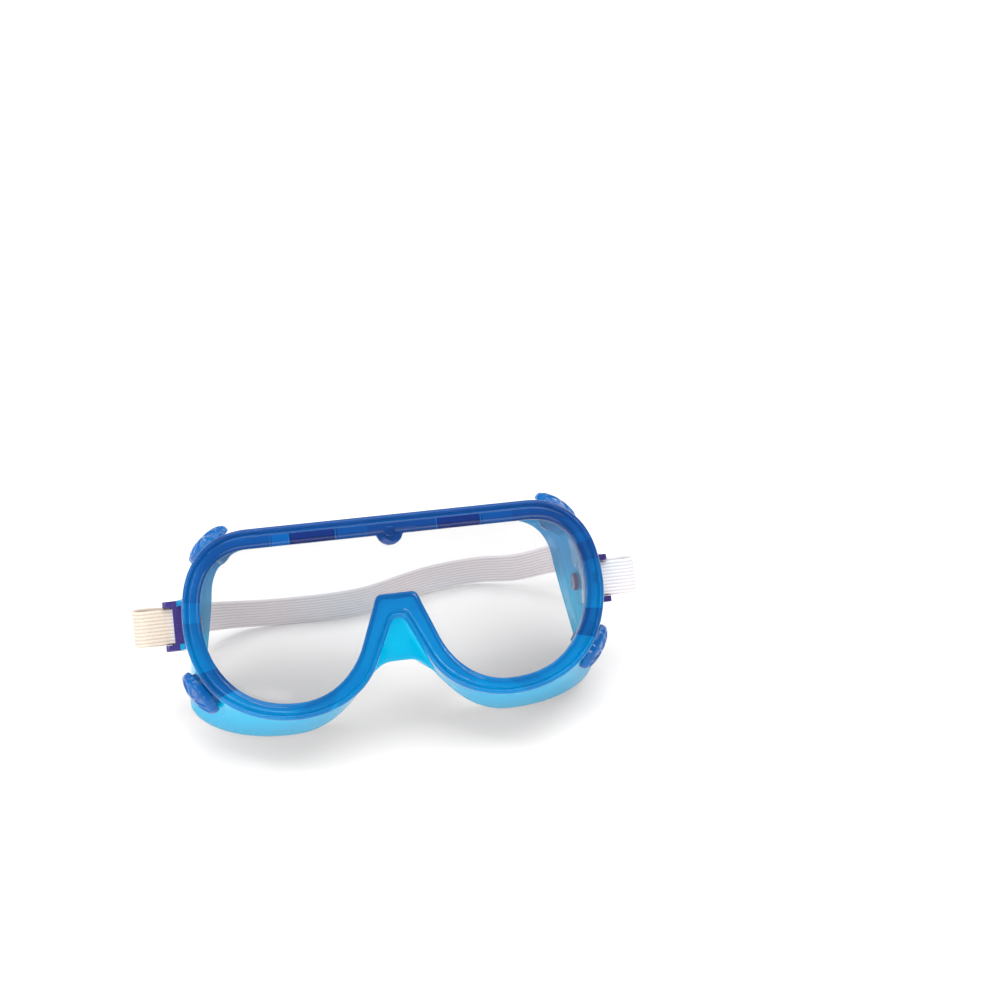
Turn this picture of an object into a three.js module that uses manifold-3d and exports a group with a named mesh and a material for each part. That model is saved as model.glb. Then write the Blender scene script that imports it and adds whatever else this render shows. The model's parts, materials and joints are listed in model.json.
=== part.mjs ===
// Child's splash goggles: a soft tinted frame with a lens in its rim, four round vents, and an
// elastic headband on two side clips. The frame is drawn upright, front face on the plane y = 0,
// +X to the side, +Y towards the face, +Z up, and the whole of it then leans back on its cheeks.
import * as THREE from 'three';
import { mergeVertices } from 'three/addons/utils/BufferGeometryUtils.js';
import Module from 'manifold-3d';

const wasm = await Module();
wasm.setup();

// Driving dimensions, in millimetres and degrees.
const LEAN = 40;                 // how far the front tips back at rest
const FIT_GAP = 0.3;             // clearance between pieces that touch

const RIM_WIDTH = 150;           // outside width of the front rim
const RIM_TOP = 16.5;            // top of the rim above the drawing's own zero
const RIM_BOTTOM = 52;           // lowest point of each lobe below zero
const RIM_DEPTH = 8;             // front to back
const RIM_EDGE = 1.5;            // slope round the rim's outer front edge
const RIM_STEP = 0.8;            // how far the rim stands out from the skirt
const BAND_TOP = 7.3;            // width of the front band above the lens
const BAND_SIDE = 7.2;
const BAND_BOTTOM = 6;
const LIP_EDGE = 0.6;            // slope round the window edge
const LIP_THICKNESS = 2.4;       // rim wall in front of the lens
const NOSE_VEE = 20.5;           // top of the nose notch, below zero
const NOSE_BAND = 8.9;           // band across the top of the notch

const LENS_THICKNESS = 1.6;
const LENS_HOLD = 1.9;           // how far the lens reaches into its groove
const REAR_LIP_SETBACK = 0.4;    // the lip behind the lens is this much wider open

const TOP_DEPTH = 28;            // front face to face seal, at the middle of the brow
const TEMPLE_DEPTH = 46;
const CHEEK_DEPTH = 30.5;
const NOSE_DEPTH = 13.3;
const BROW_RISE = 1.5;           // the face seal's top, above the rim's
const TEMPLE_INSET = 4;          // the face seal at the temple, inside the rim's width
const CHEEK_DROP = 6;            // the face seal's lowest point, below the rim's
const CHEEK_SPREAD = 6;          // the face seal at the cheeks, outside its width at the temple
const NOSE_SWEEP = 15.3;         // the nose arch, below the notch
const WALL = 2;                  // skirt wall
const SEAL_WIDTH = 6;            // turned-in lip against the face

const TAB_RADIUS = 4.8;          // round tab over the lens at the top middle
const TAB_DROP = 3.8;
const PIN_RADIUS = 2;
const PIN_HEIGHT = 0.8;

const VENT_DEPTH = 18.2;         // centre of each vent behind the front face
const VENT_TILT = 8;             // the vents look a little forward
const TOP_VENT = { height: RIM_TOP - 4, angle: 50, facet: 3 };     // place on the skirt, way it looks
const LOW_VENT = { height: 15.5 - RIM_BOTTOM, angle: -34, facet: 3.4 };  // above the side, its flat
const FACET_REACH = 15;          // half-width of the flat that a vent stands on
const BOSS_RADIUS = 7.5;
const BOSS_HEIGHT = 1.5;         // above the skirt
const BOSS_ROOT = 3.6;           // below the skirt's outer face
const SEAT_RADIUS = 5;           // body of the vent seat
const SEAT_FLANGE = 7;
const SEAT_FLANGE_THICKNESS = 1;
const SEAT_LENGTH = 4.4;
const AIR_SLOTS = 4;
const AIR_SLOT_WIDTH = 1.6;
const STEM_RADIUS = 1.9;
const BARB_RADIUS = 2.6;
const BARB_LENGTH = 1.4;
const CAP_RADIUS = 9;
const CAP_LIFT = 1;              // air gap between the cap and the seat's flange
const CAP_SKIRT = 0.8;           // turned-down edge of the cap
const CAP_EDGE = 1.6;            // upright edge of the cap
const CAP_HEIGHT = 4.4;          // underside to crown

const STRAP_WIDTH = 13;
const STRAP_THICKNESS = 1.1;
const CLIP_DEPTH = 30;           // the strap bar behind the front face
const CLIP_DROP = 13.6;          // the clip's middle, below zero
const PAD_HEIGHT = 1.4;          // flat channel that the clip stands on
const PAD_BACKING = 0.8;         // thickening inside the skirt behind the channel
const CLIP_PLATE = 1.2;
const CLIP_EAR = 2.2;            // thickness of the ears above and below the strap
const CLIP_FRONT = 1.6;          // thickness of the clip's front wall
const EAR_REACH = 3.2;           // ears, outwards from the bar
const PLATE_TAIL = 3;            // back plate, rearwards from the bar
const EAR_TAIL = 6;              // ears, rearwards from the bar
const BAR_RADIUS = 1.1;
const STUD_RADIUS = 2.2;
const STUD_HEAD = 3.4;
const STUD_HEAD_THICKNESS = 1.4;
const STRAP_TAIL = 7.2;          // doubled end past the bar
const STRAP_SPLIT = 8;           // where the swinging length begins, past the bar

// Working values that follow from them.
const HALF = RIM_WIDTH / 2;
const LOBE_X = HALF / 2 + 0.5;
const GROOVE_DEPTH = LENS_HOLD + FIT_GAP;
const GROOVE_WIDTH = LENS_THICKNESS + 2 * FIT_GAP;
const FACE_BOTTOM = RIM_BOTTOM + CHEEK_DROP;
const NOSE_ARCH = NOSE_VEE + NOSE_SWEEP;
const TEMPLE_X = HALF - TEMPLE_INSET;
const CAP_UNDERSIDE = FIT_GAP + SEAT_FLANGE_THICKNESS + CAP_LIFT;
const STRAP_MID = BAR_RADIUS + FIT_GAP + STRAP_THICKNESS / 2;   // strap's middle from the bar's axis
const CLIP_BACK = STRAP_MID + STRAP_THICKNESS / 2 + FIT_GAP;    // plate's outer face from the axis
const EAR_IN = STRAP_WIDTH / 2 + FIT_GAP;
const CLIP_HALF_HEIGHT = EAR_IN + CLIP_EAR;

// Each loop runs over the right half from the top middle to the nose, as cubic pieces of
// [first handle, second handle, end]; all three have the same pieces, so their stations pair up.
const PIECE_STEPS = [4, 7, 6, 6, 6, 4, 3, 1];

function halfLoop(start, pieces) {
    const points = [new THREE.Vector3(...start)];
    let from = points[0];
    pieces.forEach(([a, b, end], k) => {
        const to = new THREE.Vector3(...end);
        const handles = [new THREE.Vector3(...a), new THREE.Vector3(...b)];
        const curve = new THREE.CubicBezierCurve3(from, ...handles, to);
        points.push(...curve.getPoints(PIECE_STEPS[k]).slice(1));
        from = to;
    });
    return points;
}

// A straight piece, written as a cubic with its handles on the line.
function straight(from, to) {
    const at = (t) => from.map((value, k) => value + (to[k] - value) * t);
    return [at(1 / 3), at(2 / 3), to];
}

function mirrored(half) {
    const left = half.slice(1, -1).reverse().map((p) => new THREE.Vector3(-p.x, p.y, p.z));
    return [...half, ...left];
}

function rimLoop() {
    const top = RIM_TOP;
    const low = -RIM_BOTTOM;
    const vee = -NOSE_VEE;
    const corner = HALF - 25;
    return mirrored(halfLoop([0, 0, top], [
        straight([0, 0, top], [corner, 0, top]),
        [[HALF - 13, 0, top], [HALF - 3.5, 0, top - 7.5], [HALF - 1, 0, top - 20.5]],
        [[HALF + 0.6, 0, top - 29], [HALF + 1.3, 0, low + 28], [HALF - 5.5, 0, low + 16]],
        [[HALF - 11.3, 0, low + 6], [LOBE_X + 13, 0, low], [LOBE_X, 0, low]],
        [[LOBE_X - 12, 0, low], [14.5, 0, vee - 26], [9.5, 0, vee - 16]],
        straight([9.5, 0, vee - 16], [3.2, 0, vee - 2.5]),
        [[2.5, 0, vee - 1], [1.8, 0, vee - 0.2], [0.8, 0, vee]],
        straight([0.8, 0, vee], [0, 0, vee]),
    ]));
}

function windowLoop() {
    const top = RIM_TOP - BAND_TOP;
    const low = -RIM_BOTTOM + BAND_BOTTOM;
    const side = HALF - BAND_SIDE;
    const flat = -NOSE_VEE + NOSE_BAND;
    const corner = HALF - 25;
    return mirrored(halfLoop([0, 0, top], [
        straight([0, 0, top], [corner, 0, top]),
        [[HALF - 15.5, 0, top], [side - 2, 0, top - 4.7], [side, 0, top - 15.2]],
        [[side + 1.3, 0, top - 22], [side + 1, 0, low + 23], [side - 3.5, 0, low + 15]],
        [[side - 9, 0, low + 5], [LOBE_X + 12, 0, low], [LOBE_X - 0.5, 0, low]],
        [[LOBE_X - 12, 0, low], [18, 0, flat - 27], [14, 0, flat - 18]],
        straight([14, 0, flat - 18], [8.3, 0, flat - 3.4]),
        [[7.6, 0, flat - 0.9], [6.8, 0, flat], [5.4, 0, flat]],
        straight([5.4, 0, flat], [0, 0, flat]),
    ]));
}

function faceLoop() {
    const top = RIM_TOP + BROW_RISE;
    const low = -FACE_BOTTOM;
    const arch = -NOSE_ARCH;
    const side = TEMPLE_X;
    const back = TEMPLE_DEPTH;
    const cheek = CHEEK_DEPTH;
    const nose = NOSE_DEPTH;
    // Depth at which a point of the lower edge meets the plane that the goggles rest on.
    const restDepth = (z) => cheek + (z - low) / Math.tan(LEAN * Math.PI / 180);
    const wide = side + CHEEK_SPREAD;
    const corner = [wide, restDepth(low + 13.8), low + 13.8];
    return mirrored(halfLoop([0, TOP_DEPTH, top], [
        [[18, TOP_DEPTH, top], [34, back - 13.5, top + 1], [HALF - 28, back - 9, top + 1]],
        [[HALF - 15, back - 4.5, top + 1], [side - 1.5, back - 1, top - 6], [side, back, top - 19]],
        [[side + 0.8, back + 0.6, top - 29], [wide + 2.2, restDepth(low + 18.5) - 0.5, low + 18.5], corner],
        [[wide - 3.4, restDepth(low + 7), low + 7], [LOBE_X + 23, cheek, low], [LOBE_X + 2.5, cheek, low]],
        [[LOBE_X - 10, cheek - 1, low], [20.5, nose + 11, arch - 15], [14.5, nose + 7.5, arch - 8.2]],
        [[13.3, nose + 6.8, arch - 6.9], [12.2, nose + 5.8, arch - 5.4], [11, nose + 4.7, arch - 4]],
        [[9, nose + 2.9, arch - 1.7], [6.5, nose + 0.8, arch - 0.1], [3.5, nose + 0.2, arch]],
        straight([3.5, nose + 0.2, arch], [0, nose, arch]),
    ]));
}

const rim = rimLoop();
const opening = windowLoop();
const face = faceLoop();
const STATIONS = rim.length;

// Towards the lens from the rim's outer edge, in the front plane.
const inward = rim.map((p, i) => opening[i].clone().sub(p).normalize());

// The skirt starts just inside the rim's back edge.
const skirtStart = rim.map((p, i) => p.clone().addScaledVector(inward[i], RIM_STEP).setY(RIM_DEPTH));
const rearward = face.map((p, i) => p.clone().sub(skirtStart[i]).normalize());

// The skirt's outer face at a station and a depth, before its flats.
function onSkirt(i, depth) {
    const share = (depth - RIM_DEPTH) / (face[i].y - RIM_DEPTH);
    return skirtStart[i].clone().lerp(face[i], share);
}

// Square to the skirt at a station of a loop that runs round it, pointing into the goggles.
function wallInward(loop, i) {
    const before = loop[(i + STATIONS - 1) % STATIONS];
    const after = loop[(i + 1) % STATIONS];
    return rearward[i].clone().cross(after.clone().sub(before)).normalize();
}

// The right-hand station where a measure of the station comes nearest to zero.
function nearestStation(first, last, measure) {
    let best = first;
    for (let i = first; i <= last; i++) {
        if (Math.abs(measure(i)) < Math.abs(measure(best))) {
            best = i;
        }
    }
    return best;
}

// The skirt half way back, pressed in to a flat where each vent stands. The nose web's own middle
// is half way along it, because it is too shallow to reach the vents' depth.
const SIDE_STATIONS = [4, 22];
const midway = rim.map((p, i) => {
    const deep = face[i].y > VENT_DEPTH + 4;
    return deep ? onSkirt(i, VENT_DEPTH) : skirtStart[i].clone().lerp(face[i], 0.5);
});
for (const vent of [TOP_VENT, LOW_VENT]) {
    vent.station = nearestStation(...SIDE_STATIONS, (i) => midway[i].z - vent.height);
}
const flattened = midway.map((p, i) => {
    const moved = p.clone();
    for (const vent of [TOP_VENT, LOW_VENT]) {
        const at = midway[vent.station];
        const away = Math.hypot(Math.abs(p.x) - at.x, p.z - at.z) / FACET_REACH;
        const press = vent.facet * (1 - THREE.MathUtils.smoothstep(away, 0, 1));
        moved.addScaledVector(wallInward(midway, i), press);
    }
    return moved;
});

const innerAtRim = skirtStart.map((p, i) => wallInward(skirtStart, i));
const innerAtFace = face.map((p, i) => wallInward(face, i));

// The frame's section at one station, starting at the rim's outer front edge.
function frameSection(i) {
    const outer = (inset, y) => rim[i].clone().addScaledVector(inward[i], inset).setY(y);
    const edge = (inset, y) => opening[i].clone().addScaledVector(inward[i], -inset).setY(y);
    const back = (forward, into) =>
        face[i].clone().addScaledVector(rearward[i], -forward).addScaledVector(innerAtFace[i], into);
    const grooveBack = LIP_THICKNESS + GROOVE_WIDTH;
    return [
        outer(0, RIM_EDGE),
        outer(RIM_EDGE, 0),
        edge(LIP_EDGE, 0),
        edge(0, LIP_EDGE),
        edge(0, LIP_THICKNESS),
        edge(GROOVE_DEPTH, LIP_THICKNESS),
        edge(GROOVE_DEPTH, grooveBack),
        edge(REAR_LIP_SETBACK, grooveBack),
        edge(REAR_LIP_SETBACK, RIM_DEPTH - LIP_EDGE),
        skirtStart[i].clone().addScaledVector(innerAtRim[i], WALL),
        flattened[i].clone().addScaledVector(wallInward(midway, i), WALL),
        back(WALL, WALL),
        back(WALL / 2, SEAL_WIDTH),
        back(0, SEAL_WIDTH),
        back(0, 0),
        flattened[i].clone(),
        skirtStart[i].clone(),
        outer(0, RIM_DEPTH),
    ];
}

// Wraps a torus's grid of vertices round the closed loop of sections.
function ringOfSections(sections) {
    const around = sections.length;
    const across = sections[0].length;
    const ring = new THREE.TorusGeometry(2, 1, across, around);
    const place = ring.attributes.position;
    const uv = ring.attributes.uv;
    for (let k = 0; k < place.count; k++) {
        const i = Math.round(uv.getX(k) * around) % around;
        const j = Math.round((1 - uv.getY(k)) * across) % across;
        place.setXYZ(k, ...sections[i][j].toArray());
    }
    return ring;
}

function solid(geometry) {
    const bare = geometry.clone();
    bare.deleteAttribute('normal');
    bare.deleteAttribute('uv');
    const merged = mergeVertices(bare, 1e-4);
    return new wasm.Manifold(new wasm.Mesh({
        numProp: 3,
        vertProperties: new Float32Array(merged.attributes.position.array),
        triVerts: new Uint32Array(merged.index.array),
    }));
}

function geometryOf(body) {
    const mesh = body.getMesh();
    const geometry = new THREE.BufferGeometry();
    geometry.setAttribute('position', new THREE.BufferAttribute(new Float32Array(mesh.vertProperties), 3));
    geometry.setIndex(new THREE.BufferAttribute(new Uint32Array(mesh.triVerts), 1));
    const open = geometry.toNonIndexed();
    open.computeVertexNormals();
    return open;
}

function box(x0, x1, y0, y1, z0, z1) {
    const geometry = new THREE.BoxGeometry(x1 - x0, y1 - y0, z1 - z0);
    return geometry.translate((x0 + x1) / 2, (y0 + y1) / 2, (z0 + z1) / 2);
}

// A cylinder along +Z from z0 to z1.
function post(radius, z0, z1, sides = 20) {
    const geometry = new THREE.CylinderGeometry(radius, radius, z1 - z0, sides);
    return geometry.rotateX(Math.PI / 2).translate(0, 0, (z0 + z1) / 2);
}

// Where each vent stands: +Z of its own frame is its axis, and zero is the boss's outer face.
function ventPlace(side, vent) {
    const angle = vent.angle * Math.PI / 180;
    const tilt = VENT_TILT * Math.PI / 180;
    const axis = new THREE.Vector3(
        Math.cos(angle) * Math.cos(tilt),
        -Math.sin(tilt),
        Math.sin(angle) * Math.cos(tilt),
    );
    const root = flattened[vent.station].clone().addScaledVector(axis, BOSS_HEIGHT);
    root.x *= side;
    axis.x *= side;
    const turn = new THREE.Quaternion().setFromUnitVectors(new THREE.Vector3(0, 0, 1), axis);
    return new THREE.Matrix4().compose(root, turn, new THREE.Vector3(1, 1, 1));
}

const vents = [
    ['top_right', 1, TOP_VENT],
    ['top_left', -1, TOP_VENT],
    ['bottom_right', 1, LOW_VENT],
    ['bottom_left', -1, LOW_VENT],
].map(([name, side, vent]) => ({ name, place: ventPlace(side, vent) }));

// The clip's frame on the right: the strap bar is its Z axis, +X outwards, +Y along the skirt.
const clipStation = nearestStation(...SIDE_STATIONS, (i) => midway[i].z + CLIP_DROP);
const clipWall = onSkirt(clipStation, CLIP_DEPTH);
const clipSlope = Math.atan2(rearward[clipStation].x, rearward[clipStation].y);
const clipOut = PAD_HEIGHT + FIT_GAP + CLIP_PLATE + CLIP_BACK;

function clipPlace(side) {
    const place = new THREE.Matrix4().makeRotationZ(-clipSlope);
    place.setPosition(clipWall.x + clipOut, CLIP_DEPTH, -CLIP_DROP);
    if (side > 0) {
        return place;
    }
    // Half a turn about the depth axis carries the right-hand clip to the left.
    const turn = new THREE.Matrix4().makeRotationY(Math.PI);
    turn.setPosition(0, 0, -2 * CLIP_DROP);
    return turn.multiply(place);
}

// Raised channel on the skirt that leads from the rim to a clip, with a ridge in line with each ear.
function channelParts() {
    const outer = -clipOut + PAD_HEIGHT;
    const frontEnd = -(CLIP_DEPTH - RIM_DEPTH) + 1;
    const clipFront = -STRAP_MID - STRAP_THICKNESS / 2 - FIT_GAP - CLIP_FRONT;
    const inner = outer - PAD_HEIGHT - WALL - PAD_BACKING;
    const pad = box(inner, outer, frontEnd, PLATE_TAIL + 1, -CLIP_HALF_HEIGHT, CLIP_HALF_HEIGHT);
    const wedge = new THREE.Shape([
        new THREE.Vector2(outer - PAD_HEIGHT, frontEnd + 3),
        new THREE.Vector2(outer + 2.6, clipFront - FIT_GAP),
        new THREE.Vector2(outer - PAD_HEIGHT, clipFront - FIT_GAP),
    ]);
    const ridge = new THREE.ExtrudeGeometry(wedge, { depth: CLIP_EAR, bevelEnabled: false });
    return [pad, ridge.clone().translate(0, 0, EAR_IN), ridge.translate(0, 0, -EAR_IN - CLIP_EAR)];
}

function buildFrame() {
    let body = solid(ringOfSections(rim.map((p, i) => frameSection(i))));
    const tabZ = RIM_TOP - BAND_TOP + TAB_RADIUS - TAB_DROP;
    const tab = new THREE.CylinderGeometry(TAB_RADIUS, TAB_RADIUS, LIP_THICKNESS, 24);
    body = body.add(solid(tab.translate(0, LIP_THICKNESS / 2, tabZ)));
    const pin = new THREE.CylinderGeometry(PIN_RADIUS, PIN_RADIUS, PIN_HEIGHT + 1, 16);
    body = body.add(solid(pin.translate(0, (1 - PIN_HEIGHT) / 2, tabZ)));
    for (const vent of vents) {
        const boss = post(BOSS_RADIUS, -BOSS_HEIGHT - BOSS_ROOT, 0, 28);
        body = body.add(solid(boss.applyMatrix4(vent.place)));
    }
    for (const side of [1, -1]) {
        for (const shape of channelParts()) {
            body = body.add(solid(shape.applyMatrix4(clipPlace(side))));
        }
        const hole = post(STUD_RADIUS + FIT_GAP, -20, 20, 16).rotateY(Math.PI / 2);
        const keep = box(-clipOut - 10, -CLIP_BACK, -5, 5, -5, 5);
        const drill = solid(hole).intersect(solid(keep));
        body = body.subtract(solid(geometryOf(drill).applyMatrix4(clipPlace(side))));
    }
    for (const vent of vents) {
        const bore = post(SEAT_RADIUS + FIT_GAP, -BOSS_HEIGHT - BOSS_ROOT - 4, 2, 24);
        const landing = post(BOSS_RADIUS, 0, CAP_RADIUS, 28);
        const underCap = post(CAP_RADIUS + FIT_GAP, CAP_UNDERSIDE - CAP_SKIRT - FIT_GAP, CAP_RADIUS, 28);
        for (const cut of [bore, landing, underCap]) {
            body = body.subtract(solid(cut.applyMatrix4(vent.place)));
        }
    }
    return geometryOf(body);
}

function buildLens() {
    const outline = opening.map((p, i) => p.clone().addScaledVector(inward[i], -LENS_HOLD));
    const shape = new THREE.Shape(outline.map((p) => new THREE.Vector2(p.x, p.z)));
    const plate = new THREE.ExtrudeGeometry(shape, { depth: LENS_THICKNESS, bevelEnabled: false });
    return plate.rotateX(Math.PI / 2).translate(0, LIP_THICKNESS + FIT_GAP + LENS_THICKNESS, 0);
}

// A turned piece: a closed outline of [radius, height] pairs about +Z.
function turned(outline, sides) {
    const points = [...outline, outline[0]].map(([r, z]) => new THREE.Vector2(r, z));
    return new THREE.LatheGeometry(points, sides).rotateX(Math.PI / 2);
}

function buildSeat() {
    const hole = STEM_RADIUS + FIT_GAP;
    const base = FIT_GAP;
    const crown = base + SEAT_FLANGE_THICKNESS;
    let body = solid(turned([
        [hole, base - SEAT_LENGTH],
        [SEAT_RADIUS, base - SEAT_LENGTH],
        [SEAT_RADIUS, base],
        [SEAT_FLANGE, base],
        [SEAT_FLANGE, crown],
        [hole, crown],
    ], 24));
    for (let k = 0; k < AIR_SLOTS; k++) {
        const half = AIR_SLOT_WIDTH / 2;
        const slot = box(hole + 0.6, SEAT_RADIUS - 0.5, -half, half, -SEAT_LENGTH - 2, crown + 1);
        body = body.subtract(solid(slot.rotateZ(2 * Math.PI * k / AIR_SLOTS)));
    }
    return geometryOf(body);
}

function buildCap() {
    const under = CAP_UNDERSIDE;
    const barbTop = -SEAT_LENGTH;
    const shoulder = CAP_RADIUS - 1.4;
    const crown = under + CAP_HEIGHT;
    const outline = [
        [0, barbTop - BARB_LENGTH],
        [STEM_RADIUS, barbTop - BARB_LENGTH],
        [BARB_RADIUS, barbTop],
        [STEM_RADIUS, barbTop],
        [STEM_RADIUS, under],
        [shoulder, under],
        [shoulder, under - CAP_SKIRT],
        [CAP_RADIUS, under - CAP_SKIRT],
        [CAP_RADIUS, under + CAP_EDGE],
        [CAP_RADIUS - 1.2, under + CAP_EDGE + 1.6],
        [CAP_RADIUS - 4, crown - 0.7],
        [0, crown],
    ];
    return geometryOf(solid(turned(outline, 24)));
}

function buildClip() {
    const front = -STRAP_MID - STRAP_THICKNESS / 2 - FIT_GAP;
    const back = -CLIP_BACK - CLIP_PLATE;
    const height = CLIP_HALF_HEIGHT;
    let body = solid(box(back, -CLIP_BACK, front - CLIP_FRONT, PLATE_TAIL, -height, height));
    body = body.add(solid(box(back, -0.4, front - CLIP_FRONT, front, -height, height)));
    for (const z of [EAR_IN, -height]) {
        const ear = new THREE.Shape();
        ear.moveTo(back, front - CLIP_FRONT);
        ear.lineTo(EAR_REACH - 1.6, front - CLIP_FRONT);
        ear.quadraticCurveTo(EAR_REACH, front - CLIP_FRONT, EAR_REACH, front);
        ear.lineTo(EAR_REACH, EAR_TAIL - 2);
        ear.quadraticCurveTo(EAR_REACH, EAR_TAIL, EAR_REACH - 2, EAR_TAIL);
        ear.lineTo(-CLIP_BACK, EAR_TAIL);
        ear.lineTo(back, PLATE_TAIL);
        const pull = { depth: CLIP_EAR, bevelEnabled: false, curveSegments: 4 };
        const plate = new THREE.ExtrudeGeometry(ear, pull);
        body = body.add(solid(plate.translate(0, 0, z)));
    }
    body = body.add(solid(post(BAR_RADIUS, -EAR_IN - 0.5, EAR_IN + 0.5, 12)));
    const inside = -clipOut - WALL - PAD_BACKING - FIT_GAP;
    const stud = post(STUD_RADIUS, inside - STUD_HEAD_THICKNESS, back + 0.5, 16);
    const head = post(STUD_HEAD, inside - STUD_HEAD_THICKNESS, inside, 16);
    body = body.add(solid(stud.rotateY(Math.PI / 2))).add(solid(head.rotateY(Math.PI / 2)));
    return geometryOf(body);
}

// A flat strap: a long box bent along a route, its width along a chosen direction at each step.
function ribbon(points, widths) {
    const steps = points.length - 1;
    const geometry = new THREE.BoxGeometry(STRAP_WIDTH, STRAP_THICKNESS, 1, 1, 1, steps);
    const place = geometry.attributes.position;
    for (let k = 0; k < place.count; k++) {
        const i = Math.round((place.getZ(k) + 0.5) * steps);
        const ahead = points[Math.min(i + 1, steps)].clone().sub(points[Math.max(i - 1, 0)]).normalize();
        const across = widths[i].clone().addScaledVector(ahead, -widths[i].dot(ahead)).normalize();
        const through = ahead.clone().cross(across);
        const at = points[i].clone()
            .addScaledVector(across, place.getX(k))
            .addScaledVector(through, place.getY(k));
        place.setXYZ(k, at.x, at.y, at.z);
    }
    return geometry;
}

// The doubled end of the strap: the tail, half a turn round the bar, and the start of the band.
function strapEnd() {
    const route = [
        new THREE.Vector3(STRAP_TAIL, STRAP_MID + 0.4, 0),
        new THREE.Vector3(STRAP_TAIL / 2, STRAP_MID + 0.2, 0),
    ];
    const turns = 8;
    for (let k = 0; k <= turns; k++) {
        const angle = Math.PI / 2 + Math.PI * k / turns;
        route.push(new THREE.Vector3(Math.cos(angle) * STRAP_MID, Math.sin(angle) * STRAP_MID, 0));
    }
    route.push(new THREE.Vector3(STRAP_SPLIT / 2, -STRAP_MID, 0));
    route.push(new THREE.Vector3(STRAP_SPLIT, -STRAP_MID, 0));
    return ribbon(route, route.map(() => new THREE.Vector3(0, 0, 1)));
}

function material(color, roughness, opacity = 1) {
    return new THREE.MeshStandardMaterial({
        color,
        roughness,
        metalness: 0,
        opacity,
        transparent: opacity < 1,
        flatShading: true,
    });
}

function named(name, geometry, look, place = new THREE.Matrix4()) {
    const mesh = new THREE.Mesh(geometry, look);
    mesh.name = name;
    mesh.applyMatrix4(place);
    return mesh;
}

const SIDES = [['right', 1], ['left', -1]];

const leaning = new THREE.Group();
leaning.rotation.x = -LEAN * Math.PI / 180;
leaning.add(named('frame_body', buildFrame(), material(0x0a6fc4, 0.18, 0.75)));
leaning.add(named('lens', buildLens(), material(0xf4f8fb, 0.05, 0.25)));
for (const vent of vents) {
    leaning.add(named(`vent_seat_${vent.name}`, buildSeat(), material(0x1a62b8, 0.3), vent.place));
    leaning.add(named(`vent_cap_${vent.name}`, buildCap(), material(0x0b66bd, 0.3), vent.place));
}
for (const [name, side] of SIDES) {
    leaning.add(named(`strap_clip_${name}`, buildClip(), material(0x35309a, 0.3), clipPlace(side)));
    leaning.add(named(`strap_end_${name}`, strapEnd(), material(0xeeebe6, 0.9), clipPlace(side)));
}
leaning.updateMatrixWorld(true);
const floor = new THREE.Box3().setFromObject(leaning, true).min.z;

// The free length of the headband lies behind the frame. Near a clip its route is given from the
// strap bar, out, back and up in the clip's own frame; behind, from the bars' depth and the surface
// below, as [x, depth, height of the strap's middle].
const NEAR_CLIP = [
    [STRAP_SPLIT + FIT_GAP, -STRAP_MID, 0],
    [STRAP_SPLIT + 2.2, -STRAP_MID + 0.2, 0],
    [STRAP_SPLIT + 5.2, 0.8, 0.3],
    [STRAP_SPLIT + 6, 4.6, 1.1],
    [STRAP_SPLIT + 4, 8.6, 1.8],
    [STRAP_SPLIT - 1, 12, 1.8],
];
const LYING = STRAP_WIDTH / 2 + FIT_GAP;
const BEHIND = [
    [TEMPLE_X + 8, 31, LYING + 15],
    [TEMPLE_X + 1, 41, LYING + 9],
    [TEMPLE_X - 15, 46, LYING + 3],
    [TEMPLE_X - 30, 50.5, LYING + 0.5],
    [TEMPLE_X - 52, 48.2, LYING],
    [TEMPLE_X - 77, 39.6, LYING],
    [52 - TEMPLE_X, 38, LYING],
    [27 - TEMPLE_X, 38.2, LYING],
    [12 - TEMPLE_X, 36, LYING + 2.5],
    [-TEMPLE_X - 1, 29, LYING + 8],
    [-TEMPLE_X - 8, 21, LYING + 13],
];

function headband() {
    const lean = new THREE.Matrix4().makeRotationX(leaning.rotation.x);
    const barAt = (side) => lean.clone().multiply(clipPlace(side));
    const depth = new THREE.Vector3().setFromMatrixPosition(barAt(1)).y;
    const near = (side) => NEAR_CLIP.map(([x, y, z]) => {
        const point = new THREE.Vector3(x, y, side * z);
        return point.applyMatrix4(barAt(side));
    });
    const behind = BEHIND.map(([x, y, z]) => new THREE.Vector3(x, depth + y, floor + z));
    const route = new THREE.CatmullRomCurve3([...near(1), ...behind, ...near(-1).reverse()]);
    const steps = 72;
    const points = route.getSpacedPoints(steps);
    // The strap's width leans with the clips at both ends and stands upright behind.
    const reach = 1 / 5;
    const widths = points.map((p, k) => {
        const fromEnd = Math.min(k, steps - k) / steps / reach;
        const lean = LEAN * (1 - THREE.MathUtils.smoothstep(fromEnd, 0.1, 1)) * Math.PI / 180;
        return new THREE.Vector3(0, Math.sin(lean), Math.cos(lean));
    });
    return ribbon(points, widths);
}

// The finished part stands on z = 0, with its origin under the middle of its box.
const goggles = new THREE.Group();
goggles.add(leaning);
goggles.add(named('headband', headband(), material(0xeeebe6, 0.9)));
goggles.updateMatrixWorld(true);
const bounds = new THREE.Box3().setFromObject(goggles, true);
const centre = bounds.getCenter(new THREE.Vector3());
goggles.position.set(-centre.x, -centre.y, -bounds.min.z);

export default goggles;
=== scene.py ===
"""Looks for a child's splash goggles: a tinted soft frame, a clear lens, four vents with petalled
caps, two strap clips and a ribbed elastic headband, standing on a pale floor."""

import json
import math

import bmesh
import bpy
from mathutils import Matrix, Vector
from mathutils.geometry import interpolate_bezier


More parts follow.
